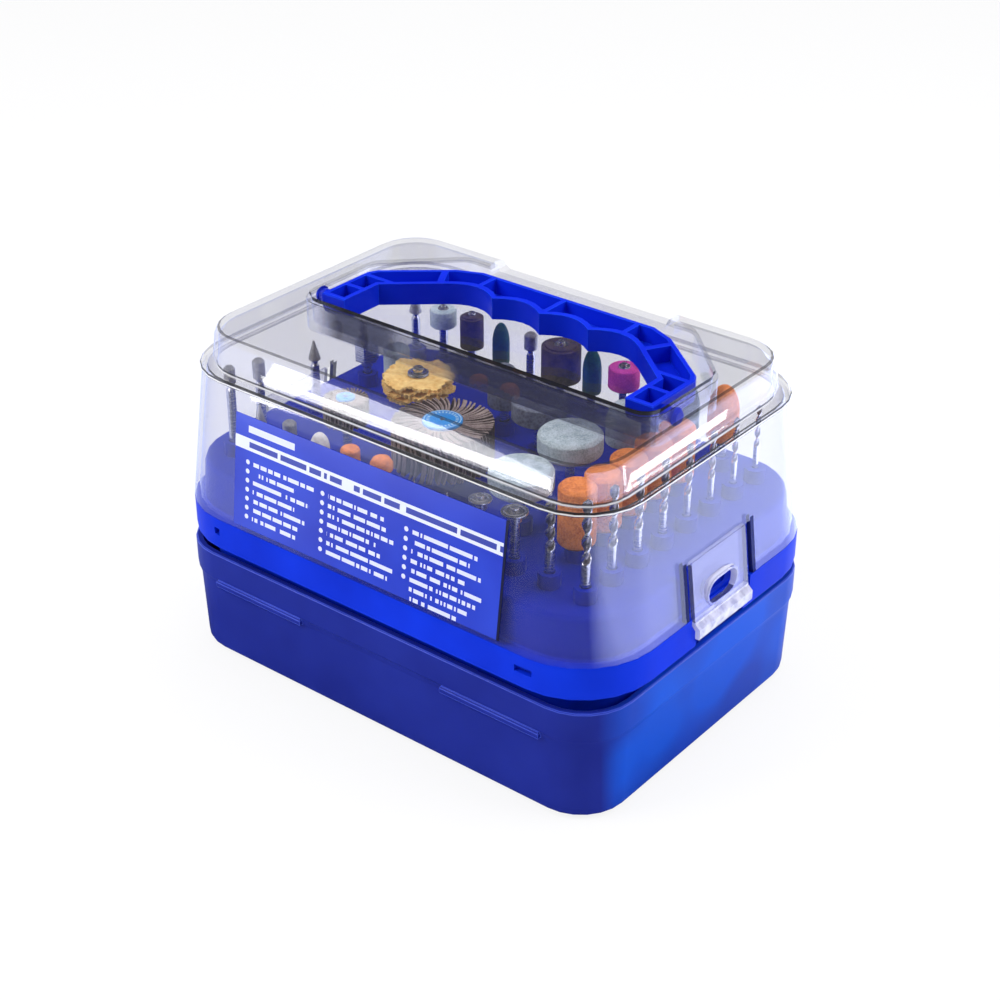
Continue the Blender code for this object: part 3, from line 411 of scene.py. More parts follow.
def base_colour(m):
    """A moulded finish's nodes, its shader and the colour that reaches it, ready for a change."""
    p = m.node_tree.nodes["Principled BSDF"]
    return m.node_tree, p, p.inputs["Base Color"].links[0].from_socket


def gritty(name, dark, light, scale=1500.0, depth=0.00012, roughness=0.92):
    """Grains pressed or glued together: stones, abrasives, and cloth at a coarser scale."""
    m, nt, p = plain(name, light, roughness, Specular_IOR_Level=0.3)
    grit = place_group(nt, GRIT, Scale=scale)
    nt.links.new(two_tones(nt, spread(nt, grit.outputs["Speckle"], 0.45, 0.95), dark, light),
                 p.inputs["Base Color"])
    bump(nt, grit.outputs["Height"], 0.8, depth, p)
    return m


def make_tub():
    """The tub's right end is painted a clearer blue in soft patches, less towards the bottom: a painted
    glow.
    """
    m = moulded("indigo_tub", (0.012, 0.022, 0.25), (0.015, 0.029, 0.31), 0.36, 0.07)
    nt, p, base = base_colour(m)
    at, x, _, z = coords_of(nt)
    end = spread(nt, x, 0.0885, 0.0925)
    painted_glow_patch = spread(nt, noise(nt, at, 24.0, 1.0), 0.42, 0.56, 0.45, 1.0)
    low = spread(nt, z, 0.002, 0.03, 1.0, 0.75)
    # painted light: where the right end takes the clearer blue
    glow = product(nt, end, painted_glow_patch, low)
    nt.links.new(two_tones(nt, glow, base, (0.002, 0.11, 0.76)), p.inputs["Base Color"])
    return m


BAND_TOP, BLOCK_TOP, FADE = 59.2 * MM, 73.0 * MM, 0.8 * MM      # the tray's blue is painted deeper, as shade, over each of these


def make_tray_plastic():
    """One blue, painted deeper as shade on the block inside the lid, where little light reaches it."""
    m = moulded("blue_tray", (0.003, 0.028, 0.58), (0.004, 0.038, 0.72), 0.38, 0.03)
    nt, p, base = base_colour(m)
    z = coords_of(nt)[3]
    shade_above_band = two_tones(nt, spread(nt, z, BAND_TOP, BAND_TOP + FADE), base, (0.003, 0.02, 0.44))
    shade_above_block = two_tones(nt, spread(nt, z, BLOCK_TOP, BLOCK_TOP + FADE), shade_above_band, (0.002, 0.016, 0.38))
    nt.links.new(shade_above_block, p.inputs["Base Color"])
    return m


def make_steel(name, tone, roughness):
    """Ground steel: fine turning marks round the shank, in its gloss and its surface."""
    m, nt, p = plain(name, tone, roughness, Metallic=1.0)
    at = wire(nt, "TexCoord").outputs["Object"]
    rings = wire(nt, "Mapping", at)
    rings.inputs["Scale"].default_value = (1.0, 1.0, 40.0)
    marks = noise(nt, rings.outputs[0], 160.0, 3.0)
    nt.links.new(spread(nt, marks, 0.3, 0.7, roughness - 0.07, roughness + 0.1), p.inputs["Roughness"])
    bump(nt, marks, 0.25, 0.00003, p)
    return m


FINISH = {
    "tub": make_tub(),
    "tray": make_tray_plastic(),
    "handle": moulded("blue_grip", (0.003, 0.016, 0.54), (0.004, 0.026, 0.63), 0.36, 0.08),
    "steel": make_steel("ground_steel", (0.66, 0.63, 0.6), 0.22),
    "oxide": gritty("brown_oxide", (0.52, 0.12, 0.03), (0.9, 0.29, 0.07)),
    "carbide": gritty("green_carbide", (0.3, 0.38, 0.4), (0.6, 0.68, 0.7)),
    "flap": gritty("flap_abrasive", (0.035, 0.02, 0.018), (0.11, 0.07, 0.06), 1800.0),
    "cotton": gritty("cotton_cloth", (0.8, 0.44, 0.12), (0.98, 0.68, 0.26), 600.0, 0.0002),
    "felt": gritty("pale_felt", (0.66, 0.6, 0.52), (0.86, 0.83, 0.77), 900.0, 0.0002),
    "rubber": gritty("green_rubber", (0.005, 0.035, 0.035), (0.012, 0.085, 0.08), 1800.0, 0.00006, 0.7),
    "magenta": gritty("pink_rubber", (0.5, 0.04, 0.24), (0.72, 0.08, 0.4), 1800.0, 0.00006, 0.7),
    "diamond": gritty("diamond_grit", (0.26, 0.24, 0.21), (0.6, 0.57, 0.53), 2200.0, roughness=0.45),
    "disc": gritty("cut_off_disc", (0.12, 0.045, 0.03), (0.24, 0.1, 0.06)),
    "sand": gritty("sanding_cloth", (0.03, 0.022, 0.02), (0.1, 0.07, 0.06), 2000.0),
}
FINISH["diamond"].node_tree.nodes["Principled BSDF"].inputs["Metallic"].default_value = 0.8
GREY_FELT = gritty("grey_felt", (0.1, 0.11, 0.15), (0.24, 0.26, 0.32), 900.0, 0.0002)
# a darker steel for the drills' flutes: painted shade in the hollows
FLUTE_SHADE = make_steel("shaded_flute_steel", (0.24, 0.21, 0.2), 0.3)
# lighter blues for the broken edges of grip, tray and tub: a painted highlight
GRIP_EDGE_HIGHLIGHT = moulded("blue_grip_edge_highlight", (0.005, 0.06, 0.8), (0.01, 0.11, 0.92), 0.3, 0.2)
TRAY_EDGE_HIGHLIGHT = moulded("blue_tray_edge_highlight", (0.008, 0.06, 0.7), (0.012, 0.09, 0.85), 0.3, 0.2)
TUB_EDGE_HIGHLIGHT = moulded("indigo_tub_edge_highlight", (0.03, 0.06, 0.5), (0.05, 0.09, 0.6), 0.3, 0.35)

# %% [markdown]
# ## Clear plastic
#
# The lid's own look is in its edges. A rounded edge of clear plastic bends the light so far that it
# shows as a black line beside a white one, so a ramp over the height paints those lines at the ledge's
# bead, as painted shade and a painted highlight. The rim of the grip's pocket gets one painted dark
# line, and the pocket's front wall a painted dark reflection of the dark room, which leaves it smoky.
# The plateau's shoulder gets a thin painted dark line. The cut faces of the slots beside each latch,
# and the wall beside them, are painted dark as shade.

# %% The lid's plastic
POCKET_X, POCKET_Y = 75.5 * MM, (-15.5 * MM, 49.5 * MM)     # half its length, and its front and back
POCKET_FRONT, POCKET_CORNER = -10.5 * MM, 24.5 * MM         # nearer than these in Y the rim line is bold
BEAD_DROP = 14.0 * MM                                       # from the lid's top to the middle of the bead
LATCH_END, SLOT_TOP = 80.0 * MM, 79.5 * MM                  # the slots lie past this X, below this Z


def clear(name):
    """Clear plastic: see-through, and shiny towards grazing. The veil over it takes its share, at the
    first mix, and its tone from whoever calls."""
    m = bpy.data.materials.new(name)
    m.use_nodes = True
    nt = m.node_tree
    nt.nodes.remove(nt.nodes["Principled BSDF"])
    through = wire(nt, "BsdfTransparent", (0.965, 0.965, 0.98, 1.0))
    veil = wire(nt, "BsdfDiffuse")
    shine = wire(nt, "BsdfGlossy", WHITE, 0.035)
    edge_on = wire(nt, "LayerWeight", 0.5).outputs["Facing"]
    mirror_share = spread(nt, calc(nt, "POWER", edge_on, 5.0), 0.0, 1.0, 0.06, 0.9)
    misty = wire(nt, "MixShader", None, through.outputs[0], veil.outputs[0])
    glossy = wire(nt, "MixShader", mirror_share, misty.outputs[0], shine.outputs[0])
    nt.links.new(glossy.outputs[0], nt.nodes["Material Output"].inputs[0])
    return m, nt, veil, misty, glossy


def make_lid_plastic():
    """Clear walls with painted lines of shade and highlight, each a mask of where it runs times its
    strength.
    """
    m, nt, veil, misty, glossy = clear("clear_lid")
    coords = wire(nt, "TexCoord")
    x, y, z = wire(nt, "SeparateXYZ", coords.outputs["Object"]).outputs
    _, ny, nz = wire(nt, "SeparateXYZ", coords.outputs["Normal"]).outputs
    ax, ay, tilt = (calc(nt, "ABSOLUTE", v) for v in (x, y, nz))
    upright = calc(nt, "LESS_THAN", tilt, 0.75)
    sideways = calc(nt, "GREATER_THAN", calc(nt, "ABSOLUTE", ny), 0.95)
    faces_out = dot(nt, wire(nt, "CombineXYZ", x, y, 0.0).outputs[0], coords.outputs["Normal"])
    outer = spread(nt, calc(nt, "GREATER_THAN", faces_out, 0.0), 0.0, 1.0, 0.3, 1.0)
    in_pocket = product(nt, calc(nt, "LESS_THAN", ax, POCKET_X), between(nt, y, *POCKET_Y))
    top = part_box("lid")[1][2]
    bead, dark_reflection_top = top - BEAD_DROP, top - 1.9 * MM

    # the bead: painted dark lines and a painted highlight line over its height, as (height, tone, strength)
    ramp = wire(nt, "ValToRGB", spread(nt, z, bead - 2 * MM, bead + 2 * MM))
    r = ramp.color_ramp
    stops = ((0.0, 0.0, 0.0), (0.30, 0.0, 0.0), (0.34, 0.01, 0.9), (0.44, 0.01, 0.9), (0.48, 0.95, 0.9),
             (0.58, 0.95, 0.9), (0.62, 0.01, 0.85), (0.70, 0.01, 0.85), (0.76, 0.0, 0.0))
    while len(r.elements) < len(stops):
        r.elements.new(0.5)
    for e, (at, tone, strength) in zip(r.elements, stops):
        e.position, e.color = at, (tone, tone, tone, strength)
    painted_bead_lines = product(nt, ramp.outputs["Alpha"], upright, outer,
                        between(nt, z, bead - 1.9 * MM, bead + 1.9 * MM))

    # the pocket: a painted dark rim line, bold at the front and the right, and a painted dark reflection
    # with a clearer window in it
    front_wall = calc(nt, "LESS_THAN", y, POCKET_FRONT)
    right_wall = product(nt, calc(nt, "GREATER_THAN", x, 0.0), calc(nt, "LESS_THAN", y, POCKET_CORNER))
    bold = calc(nt, "MAXIMUM", front_wall, right_wall)
    rim = product(nt, in_pocket, between(nt, tilt, -1.0, 0.95), between(nt, z, dark_reflection_top, top - 0.02 * MM))
    painted_rim_line = product(nt, rim, spread(nt, bold, 0.0, 1.0, 0.3, 1.0))
    window = product(nt, spread(nt, x, -0.035, -0.028), spread(nt, x, -0.010, -0.003, 1.0, 0.0))
    dark_reflection = product(nt, in_pocket, upright, front_wall, spread(nt, x, -0.066, -0.056),
                    spread(nt, x, 0.03, 0.06, 1.0, 0.6), spread(nt, window, 0.0, 1.0, 1.0, 0.3),
                    between(nt, z, top - 12.0 * MM, dark_reflection_top), 0.8)

    # painted dark lines at the plateau's shoulder, and painted shade on the slots' cut faces and the wall
    # beside them
    painted_shoulder_line = product(nt, calc(nt, "SUBTRACT", 1.0, in_pocket), between(nt, tilt, 0.3, 0.97),
                       between(nt, z, top - 0.95 * MM, top - 0.3 * MM), 0.6)
    at_latch = calc(nt, "GREATER_THAN", ax, LATCH_END)
    slot = product(nt, sideways, between(nt, ay, 0.0150, 0.0195), at_latch,
                   calc(nt, "LESS_THAN", z, SLOT_TOP), 0.92)
    slot_side_shade = product(nt, between(nt, ay, 0.0183, 0.0203), at_latch,
                        calc(nt, "LESS_THAN", z, SLOT_TOP - 0.5 * MM), 0.85)

    # all the painted lines of shade and highlight together
    lines = chain(nt, "MAXIMUM", painted_bead_lines, painted_rim_line, dark_reflection, painted_shoulder_line, slot, slot_side_shade)
    haze = spread(nt, tilt, 0.8, 0.95, 0.018, 0.006)
    nt.links.new(calc(nt, "MAXIMUM", lines, haze), misty.inputs[0])
    # beside the slots the wall mirrors nothing, which deepens the painted shade there
    mirror_share = glossy.inputs[0].links[0].from_socket
    nt.links.new(product(nt, mirror_share, spread(nt, slot_side_shade, 0.0, 1.0, 1.0, 0.0)), glossy.inputs[0])
    # the painted lines' tones: near black, dark navy in the painted dark reflection, deep blue beside the
    # slots, and the bead's ramp of black and white
    shade_tone = two_tones(nt, calc(nt, "GREATER_THAN", dark_reflection, 0.05), (0.006, 0.006, 0.012), (0.02, 0.023, 0.08))
    shade_tone = two_tones(nt, slot_side_shade, shade_tone, (0.006, 0.012, 0.13))
    dark = two_tones(nt, painted_bead_lines, shade_tone, ramp.outputs["Color"])
    is_line = calc(nt, "GREATER_THAN", lines, 0.1)
    nt.links.new(two_tones(nt, is_line, (0.72, 0.74, 0.96), dark), veil.inputs[0])
    return m


# %% The latches' plastic
LIP_TOP, SLOPE_TOP, HOLE_LOW, HOLE_SIDE = 56.6 * MM, 57.9 * MM, 60.0 * MM, 12.0 * MM


def make_latch_plastic():
    """Lightly frosted tongues: cut sides painted dark as shade, and a painted highlight on the ring in the
    oval hole and on the lip below.
    """
    m, nt, veil, misty, _ = clear("clear_latch")
    coords = wire(nt, "TexCoord")
    at = coords.outputs["Object"]
    _, y, z = wire(nt, "SeparateXYZ", at).outputs
    nx = wire(nt, "SeparateXYZ", coords.outputs["Normal"]).outputs[0]
    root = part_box("latch_right")[1][2] - 0.6 * MM
    cut = product(nt, calc(nt, "LESS_THAN", calc(nt, "ABSOLUTE", nx), 0.2), calc(nt, "LESS_THAN", z, root))
    middle = calc(nt, "LESS_THAN", calc(nt, "ABSOLUTE", y), HOLE_SIDE)
    ring = product(nt, cut, middle, calc(nt, "GREATER_THAN", z, HOLE_LOW))
    lip = calc(nt, "LESS_THAN", z, LIP_TOP)
    streak = spread(nt, noise(nt, at, 260.0, 3.0), 0.35, 0.6, 0.3, 0.62)
    # painted highlight, streaked, on the lip and on the hole's ring
    bright = product(nt, calc(nt, "MAXIMUM", lip, ring), streak)
    frost = spread(nt, between(nt, z, LIP_TOP, SLOPE_TOP), 0.0, 1.0, 0.2, 0.03)
    nt.links.new(chain(nt, "MAXIMUM", product(nt, cut, 0.75), frost, bright), misty.inputs[0])
    # the cut sides take a near-black tone: painted shade
    tone = two_tones(nt, cut, (0.6, 0.62, 0.95), (0.03, 0.03, 0.07))
    in_painted_highlight = calc(nt, "GREATER_THAN", bright, 0.1)
    nt.links.new(two_tones(nt, in_painted_highlight, tone, (0.9, 0.9, 1.0)), veil.inputs[0])
    return m


FINISH["clear"] = make_lid_plastic()
LATCH_PLASTIC = make_latch_plastic()
print(len(FINISH), "finishes")

# %% [markdown]
# ## Printed film
#
# The label is a plain print with no words: a bar at the top, a white stripe with dark blocks for a
# title, and three columns of dots and bars for lists. One grid of cells makes all the bars: a random
# number per cell leaves some of them empty, and one per line says how far that line runs.

# %% Label print, in millimetres from its lower left corner
LIST_TOP, LINE_PITCH, COLUMN = 26.6, 3.3, 33.0
LISTS = ((6.0, 7, 0), (40.0, 7, 0), (76.0, 8, 2))       # left edge, lines, lines without a dot at the foot


def make_label():
    low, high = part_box("label")
    wide, tall = (high[0] - low[0]) / MM, (high[2] - low[2]) / MM
    m, nt, p = plain("label_film", (0.03, 0.05, 0.55), 0.16, Specular_IOR_Level=0.5)
    at, x, _, z = coords_of(nt)
    u = spread(nt, x, low[0], high[0], 0.0, wide)
    v = spread(nt, z, low[2], high[2], 0.0, tall)

    def blocks(u0, u1, v0, v1, pitch, fill, seed, cell=0.7):
        """Bars in lines from v0 up to v1, broken into words of random length."""
        row = calc(nt, "DIVIDE", calc(nt, "SUBTRACT", v, v0), pitch)
        line = calc(nt, "FLOOR", row)
        on_bar = calc(nt, "LESS_THAN", calc(nt, "FRACT", row), fill)
        letter = calc(nt, "FLOOR", calc(nt, "DIVIDE", u, cell))
        key = wire(nt, "CombineXYZ", letter, line, seed).outputs[0]
        dice = wire(nt, "TexWhiteNoise", key).outputs["Value"]
        length_key = wire(nt, "CombineXYZ", seed + 3.0, line, seed).outputs[0]
        length = wire(nt, "TexWhiteNoise", length_key).outputs["Value"]
        end = calc(nt, "MULTIPLY_ADD", length, (u1 - u0) * 0.35, u0 + (u1 - u0) * 0.62)
        return product(nt, on_bar, calc(nt, "GREATER_THAN", dice, 0.22), calc(nt, "LESS_THAN", u, end),
                       between(nt, u, u0, u1), between(nt, v, v0, v1))

    def dots(u0, v0, v1, pitch):
        """A round dot at u0 in front of each line."""
        row = calc(nt, "FRACT", calc(nt, "DIVIDE", calc(nt, "SUBTRACT", v, v0), pitch))
        dv = calc(nt, "MULTIPLY", calc(nt, "SUBTRACT", row, 0.28), pitch)
        du = calc(nt, "SUBTRACT", u, u0)
        return product(nt, calc(nt, "LESS_THAN", length_of(nt, du, dv), 0.85), between(nt, v, v0, v1))

    mark = product(nt, between(nt, u, 6.0, 27.0), between(nt, v, 34.9, 37.3))
    stripe = product(nt, between(nt, v, 28.4, 32.8), between(nt, u, 0.0, wide - 1.2))
    title = blocks(6.0, 150.0, 29.6, 31.6, 4.0, 0.5, 5.0, 1.3)
    ink = mark
    for k, (u0, rows, plain_rows) in enumerate(LISTS):
        v0 = LIST_TOP - LINE_PITCH * rows
        bars = blocks(u0 + 2.6, u0 + COLUMN, v0, LIST_TOP, LINE_PITCH, 0.44, 1.0 + k)
        ink = chain(nt, "MAXIMUM", ink, bars, dots(u0, v0 + LINE_PITCH * plain_rows, LIST_TOP, LINE_PITCH))
    drift = spread(nt, noise(nt, at, 30.0), 0.3, 0.7)
    ground = two_tones(nt, drift, (0.02, 0.04, 0.48), (0.028, 0.065, 0.62))
    # the label is darker along its right edge
    dark_right_edge = calc(nt, "GREATER_THAN", u, wide - 1.0)
    ground = two_tones(nt, dark_right_edge, ground, (0.012, 0.014, 0.05))
    inked = two_tones(nt, ink, ground, (0.72, 0.76, 0.95))
    white = two_tones(nt, title, (0.78, 0.82, 0.97), (0.05, 0.07, 0.4))
    nt.links.new(two_tones(nt, stripe, inked, white), p.inputs["Base Color"])
    return m


FINISH["label"] = make_label()
for node, ob in NODES.items():
    ob.data.materials.clear()
    ob.data.materials.append(FINISH[SLOT_OF[node]])

# %% [markdown]
# ## Moulded shells
#
# Tub, tray, lid, latches and grip keep the solids' shape. A copy of each gets the small radius that
# every moulded edge has, because it is what catches the light. On blue plastic the radius is also
# painted a lighter blue as a painted highlight, so the bevel's faces take a second finish.

# %% Shells with broken edges
SHELLS = {          # edge radius, angle past which an edge is sharp, finish, painted highlight finish of the radius
    "base_box": (0.0004, 32.0, FINISH["tub"], TUB_EDGE_HIGHLIGHT),
    "tray": (0.0003, 50.0, FINISH["tray"], TRAY_EDGE_HIGHLIGHT),
    "handle": (0.0007, 32.0, FINISH["handle"], GRIP_EDGE_HIGHLIGHT),
    "lid": (0.0002, 32.0, FINISH["clear"], None),
    "latch_left": (0.0003, 32.0, LATCH_PLASTIC, None),
    "latch_right": (0.0003, 32.0, LATCH_PLASTIC, None),
}
for node, (width, sharp, body_finish, highlight_finish) in SHELLS.items():
    shell = copy_of(node, node + "_shell")
    shell.data.materials.append(body_finish)
    if highlight_finish:
        shell.data.materials.append(highlight_finish)
    rounded_edges(shell, width, angle=sharp, lit=bool(highlight_finish))
    settle(shell, node)
    print(shell.name, len(shell.data.polygons))

# %% [markdown]
# ## Turned pieces
#
# Most bits were turned on a lathe, so each is a disc drawn up ring by ring: the face is extruded to the
# next height and resized to the next radius. The CAD solid's own rings give heights and radii. Steel
# and head are told apart by height, and a small bevel breaks the edges.

# %% A turned body
STEEL = FINISH["steel"]


def axis_of(node):
    low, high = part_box(node)
    return (low[0] + high[0]) / 2, (low[1] + high[1]) / 2


def mean_near(radii, r):
    """The mean of the radii that differ from r by less than a facet's error."""
    near = [q for q in radii if abs(q - r) < 0.00025]
    return round(sum(near) / len(near), 5)


def rings_of(node):
    """(height, radius) of the solid's rings from the bottom up, each next to the one it continues."""
    cx, cy = axis_of(node)
    found = sorted({(round(v.co.z, 4), round(hypot(v.co.x - cx, v.co.y - cy), 4))
                    for v in NODES[node].data.vertices})
    rings = []
    for z in sorted({z for z, r in found}):
        at_z = [r for zz, r in found if zz == z]
        radii = sorted({mean_near(at_z, r) for r in at_z})
        before = rings[-1][1] if rings else 0.0
        rings += [(z, r) for r in sorted(radii, key=lambda r: abs(r - before))]
    return rings


def turned(name, axis, rings, steps=32):
    """Draw a disc up through the rings; a last radius near zero closes in a point."""
    alone()
    cx, cy = axis
    bpy.ops.mesh.primitive_circle_add(vertices=steps, radius=rings[0][1], fill_type="NGON",
                                      location=(cx, cy, rings[0][0]))
    ob = bpy.context.object
    ob.name = name
    bpy.ops.object.transform_apply(location=True)
    bpy.ops.object.mode_set(mode="EDIT")
    bpy.ops.mesh.select_mode(type="FACE")
    bpy.ops.mesh.select_all(action="SELECT")
    for (z0, r0), (z1, r1) in zip(rings, rings[1:]):
        bpy.ops.mesh.extrude_region_move(TRANSFORM_OT_translate={"value": (0, 0, z1 - z0)})
        if r1 < 0.00005:
            bpy.ops.mesh.merge(type="CENTER")
            break
        k = r1 / r0
        bpy.ops.transform.resize(value=(k, k, 1.0), center_override=(cx, cy, z1))
    bpy.ops.mesh.select_all(action="SELECT")
    bpy.ops.mesh.remove_doubles(threshold=1e-7)
    bpy.ops.mesh.normals_make_consistent(inside=False)
    bpy.ops.object.mode_set(mode="OBJECT")
    return ob


def paint(ob, finishes, rule=lambda centre: 0):
    """Give each face the finish that rule(face centre) picks by number."""
    for m in finishes:
        ob.data.materials.append(m)
    for p in ob.data.polygons:
        p.material_index = rule(p.center)


def joined(main, *others):
    alone(main)
    for o in others:
        o.select_set(True)
    bpy.ops.object.join()
    return main


# %% Slotted screw
SCREW_R, SCREW_TALL = 0.001, 0.0009


def make_screw():
    """A cheese-head screw with its slot, standing on z = 0."""
    screw = turned("slotted_screw", (0, 0), [(0, SCREW_R), (0.0007, SCREW_R), (SCREW_TALL, 0.00085)], 28)
    alone()
    bpy.ops.mesh.primitive_cube_add(size=1.0, location=(0, 0, SCREW_TALL))
    blade = bpy.context.object
    blade.scale = (0.003, 0.00032, 0.0009)
    bpy.ops.object.transform_apply(location=True, scale=True)
    cut = screw.modifiers.new("slot", "BOOLEAN")
    cut.object, cut.operation, cut.solver = blade, "DIFFERENCE", "EXACT"
    apply_modifiers(screw)
    bpy.data.objects.remove(blade)
    rounded_edges(screw, 0.00004, 1)
    screw.data.materials.append(STEEL)
    return screw


SCREW = make_screw()


def screw_on(ob, axis, z, radius, turn=0.6):
    """A copy of the screw, with its own mesh, fixed on top of a piece."""
    s = bpy.data.objects.new(ob.name + "_screw", SCREW.data.copy())
    scene.collection.objects.link(s)
    scale = Matrix.Scale(radius / SCREW_R, 4)
    s.data.transform(Matrix.Translation((*axis, z)) @ Matrix.Rotation(turn, 4, "Z") @ scale)
    return joined(ob, s)


# %% [markdown]
# ## Stones, points and burrs
#
# A mounted stone is grit pressed round a steel shank. Rounded points get extra rings on an ellipse, so
# that they have no facets. Wheels and drums are held by a slotted screw.

# %% Heads on shanks
SCREWED = ("rubber_wheel_pink", "rubber_wheel_grey", "sanding_drum_1", "sanding_drum_2", "felt_wheel")
HEAD_SLOTS = ("oxide", "carbide", "rubber", "magenta", "diamond", "felt", "sand")
IN_TRAY = 0.06              # the spare stock in the tub lies lower
NECK_R = 0.00175            # wider than this, it is the head
HEADS = [n for n in NODES if SLOT_OF[n] in HEAD_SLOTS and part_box(n)[0][2] > IN_TRAY]


def round_tip(rings, steps=10):
    """Replace the coarse rings of a rounded point by a smooth ellipse."""
    big = max(r for z, r in rings)
    z0 = max(z for z, r in rings if r > big - 0.0001)
    z1 = rings[-1][0]
    body = [(z, r) for z, r in rings if z <= z0]
    quarter = [k * pi / (2 * steps) for k in range(1, steps + 1)]
    return body + [(z0 + (z1 - z0) * sin(a), big * cos(a)) for a in quarter]


def under_screw(rings):
    """The rings without the solid's plain screw, and the height at which its head's material ends."""
    big = max(r for z, r in rings)
    head_high = max(z for z, r in rings if r > 0.7 * big)
    rings = [(z, r) for z, r in rings if z <= head_high + 0.00005 or r > 0.25 * big]
    if rings[-1][0] > head_high + 0.0002:
        rings = [(z, r) for z, r in rings if z <= head_high + 0.0007]
    return rings, head_high


for node in HEADS:
    kind = SLOT_OF[node]
    rings = rings_of(node)
    if rings[-1][1] < 0.0001:
        rings = round_tip(rings)
    head_low = min(z for z, r in rings if r > NECK_R) - 0.00001
    if kind == "diamond":                       # its grit runs down onto the neck
        head_low = [z for z, r in rings if z < head_low][-1]
    head_high = 1.0
    if node in SCREWED:
        rings, head_high = under_screw(rings)
    if node.startswith("sanding_drum"):         # a steel flange shows below the band
        head_low += 0.0008
    piece = turned(node + "_turned", axis_of(node), rings)
    paint(piece, (STEEL, GREY_FELT if node in ("felt_wheel", "felt_cone") else FINISH[kind]),
          lambda c: int(head_low < c.z < head_high + 0.0001))
    rounded_edges(piece, 0.00035 if kind in ("oxide", "carbide", "felt") else 0.00015, 2, 40)
    if node in SCREWED:
        top = max(v.co.z for v in piece.data.vertices)
        radius = (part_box(node)[1][2] - top) / SCREW_TALL * SCREW_R      # tall enough to fill the CAD box
        piece = screw_on(piece, axis_of(node), top - 0.0001, min(0.0021, max(SCREW_R, radius)))
    settle(piece, node)
print(len(HEADS), "bits turned")

# %% [markdown]
# ## Mandrels and the collet nut
#
# A cutting mandrel clamps a thin wheel between two washers with a slotted screw, and a screw mandrel
# ends in a tapered thread, shaped here as rings that step in and out.

# %% Mandrels
def below(top, *rings):
    """Rings given by their depth under a piece's top."""
    return [(top - depth, r) for depth, r in rings]


THREADS, THREAD_PITCH = 7, 0.0008

for node in ("cutting_mandrel_1", "cutting_mandrel_2"):
    low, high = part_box(node)
    wide, top = (high[0] - low[0]) / 2, high[2]
    rings = [(BIT_FOOT, SHANK_R)] + below(
        top, (0.005, SHANK_R), (0.005, 0.0023), (0.0022, 0.0023), (0.002, wide), (0.0014, wide),
        (0.0013, wide - 0.0008), (0.0015, wide - 0.0011), (0.0013, wide - 0.0014), (0.0012, 0.0022))
    piece = turned(node + "_turned", axis_of(node), rings)
    paint(piece, (STEEL,))
    rounded_edges(piece, 0.0001, 2, 40)
    settle(screw_on(piece, axis_of(node), top - 0.0013, 0.0014, 0.3), node)

for node in ("screw_mandrel_1", "screw_mandrel_2"):
    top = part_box(node)[1][2]
    collar = top - 0.0066
    rings = [(BIT_FOOT, SHANK_R), (collar - 0.0014, SHANK_R), (collar - 0.0014, 0.0025), (collar, 0.0025),
             (collar, 0.0012)]
    for k in range(THREADS):
        z, r = collar + 0.0004 + k * THREAD_PITCH, 0.0019 - 0.00022 * k
        rings += [(z, r), (z + THREAD_PITCH / 2, r * 0.68)]
    rings += [(top, 0.0002)]
    piece = turned(node + "_turned", axis_of(node), rings)
    paint(piece, (STEEL,))
    rounded_edges(piece, 0.00008, 1, 40)
    settle(piece, node)

nut = copy_of("collet_nut", "collet_nut_milled")
nut.data.materials.append(STEEL)
rounded_edges(nut, 0.0003)
settle(nut, "collet_nut")
print("mandrels and nut")

# %% [markdown]
# ## Twist drills
#
# One drill is modelled and copied. Its section is a round bar with two hollows, and each level of the
# bar is turned a little further than the one below. The hollows run out above a plain shank. The hollows'
# faces are painted darker than the lands, as shade in them, so they take a second finish.

# %% One drill, nine copies
FLUTE_START, DRILL_TOP = 0.0870, 0.1094
FLUTE_LEVELS, FLUTE_TURN, RUN_OUT = 36, 0.0125, 0.0022      # levels, rise per full turn, soft start
X_AXIS = Vector((1, 0))


def polar(x, y):
    """Radius, and angle from the X axis."""
    return hypot(x, y), Vector((x, y)).angle_signed(X_AXIS)


def hollow(angle):
    """How deep the two hollows are at this angle: 0 on a land, 1 in the middle of a flute."""
    t = min(1.0, max(0.0, (abs(sin(angle)) - 0.3) / 0.62))
    return t * t * (3 - 2 * t)


def make_drill():
    """A round bar drawn up through close levels, then hollowed and twisted point by point."""
    rise = (DRILL_TOP - SHANK_R * 0.6 - FLUTE_START) / FLUTE_LEVELS
    rings = [(BIT_FOOT, SHANK_R), (FLUTE_START - 0.0004, SHANK_R)]
    rings += [(FLUTE_START + rise * k, SHANK_R) for k in range(FLUTE_LEVELS + 1)]
    rings += [(DRILL_TOP, SHANK_R * 0.16)]
    drill = turned("drill_master", (0, 0), rings, 24)
    depth_at = {}
    for v in drill.data.vertices:
        up = v.co.z - FLUTE_START
        if up < -0.0001:
            depth_at[v.index] = 0.0
            continue
        r, a = polar(v.co.x, v.co.y)
        d = hollow(a) * min(1.0, up / RUN_OUT)
        depth_at[v.index] = d
        turn = a + 2 * pi * up / FLUTE_TURN
        v.co.x, v.co.y = r * (1 - 0.6 * d) * cos(turn), r * (1 - 0.6 * d) * sin(turn)
    drill.data.materials.append(STEEL)
    drill.data.materials.append(FLUTE_SHADE)
    for p in drill.data.polygons:
        p.material_index = int(sum(depth_at[i] for i in p.vertices) / len(p.vertices) > 0.35)
    smooth(drill, 32.0)
    return drill


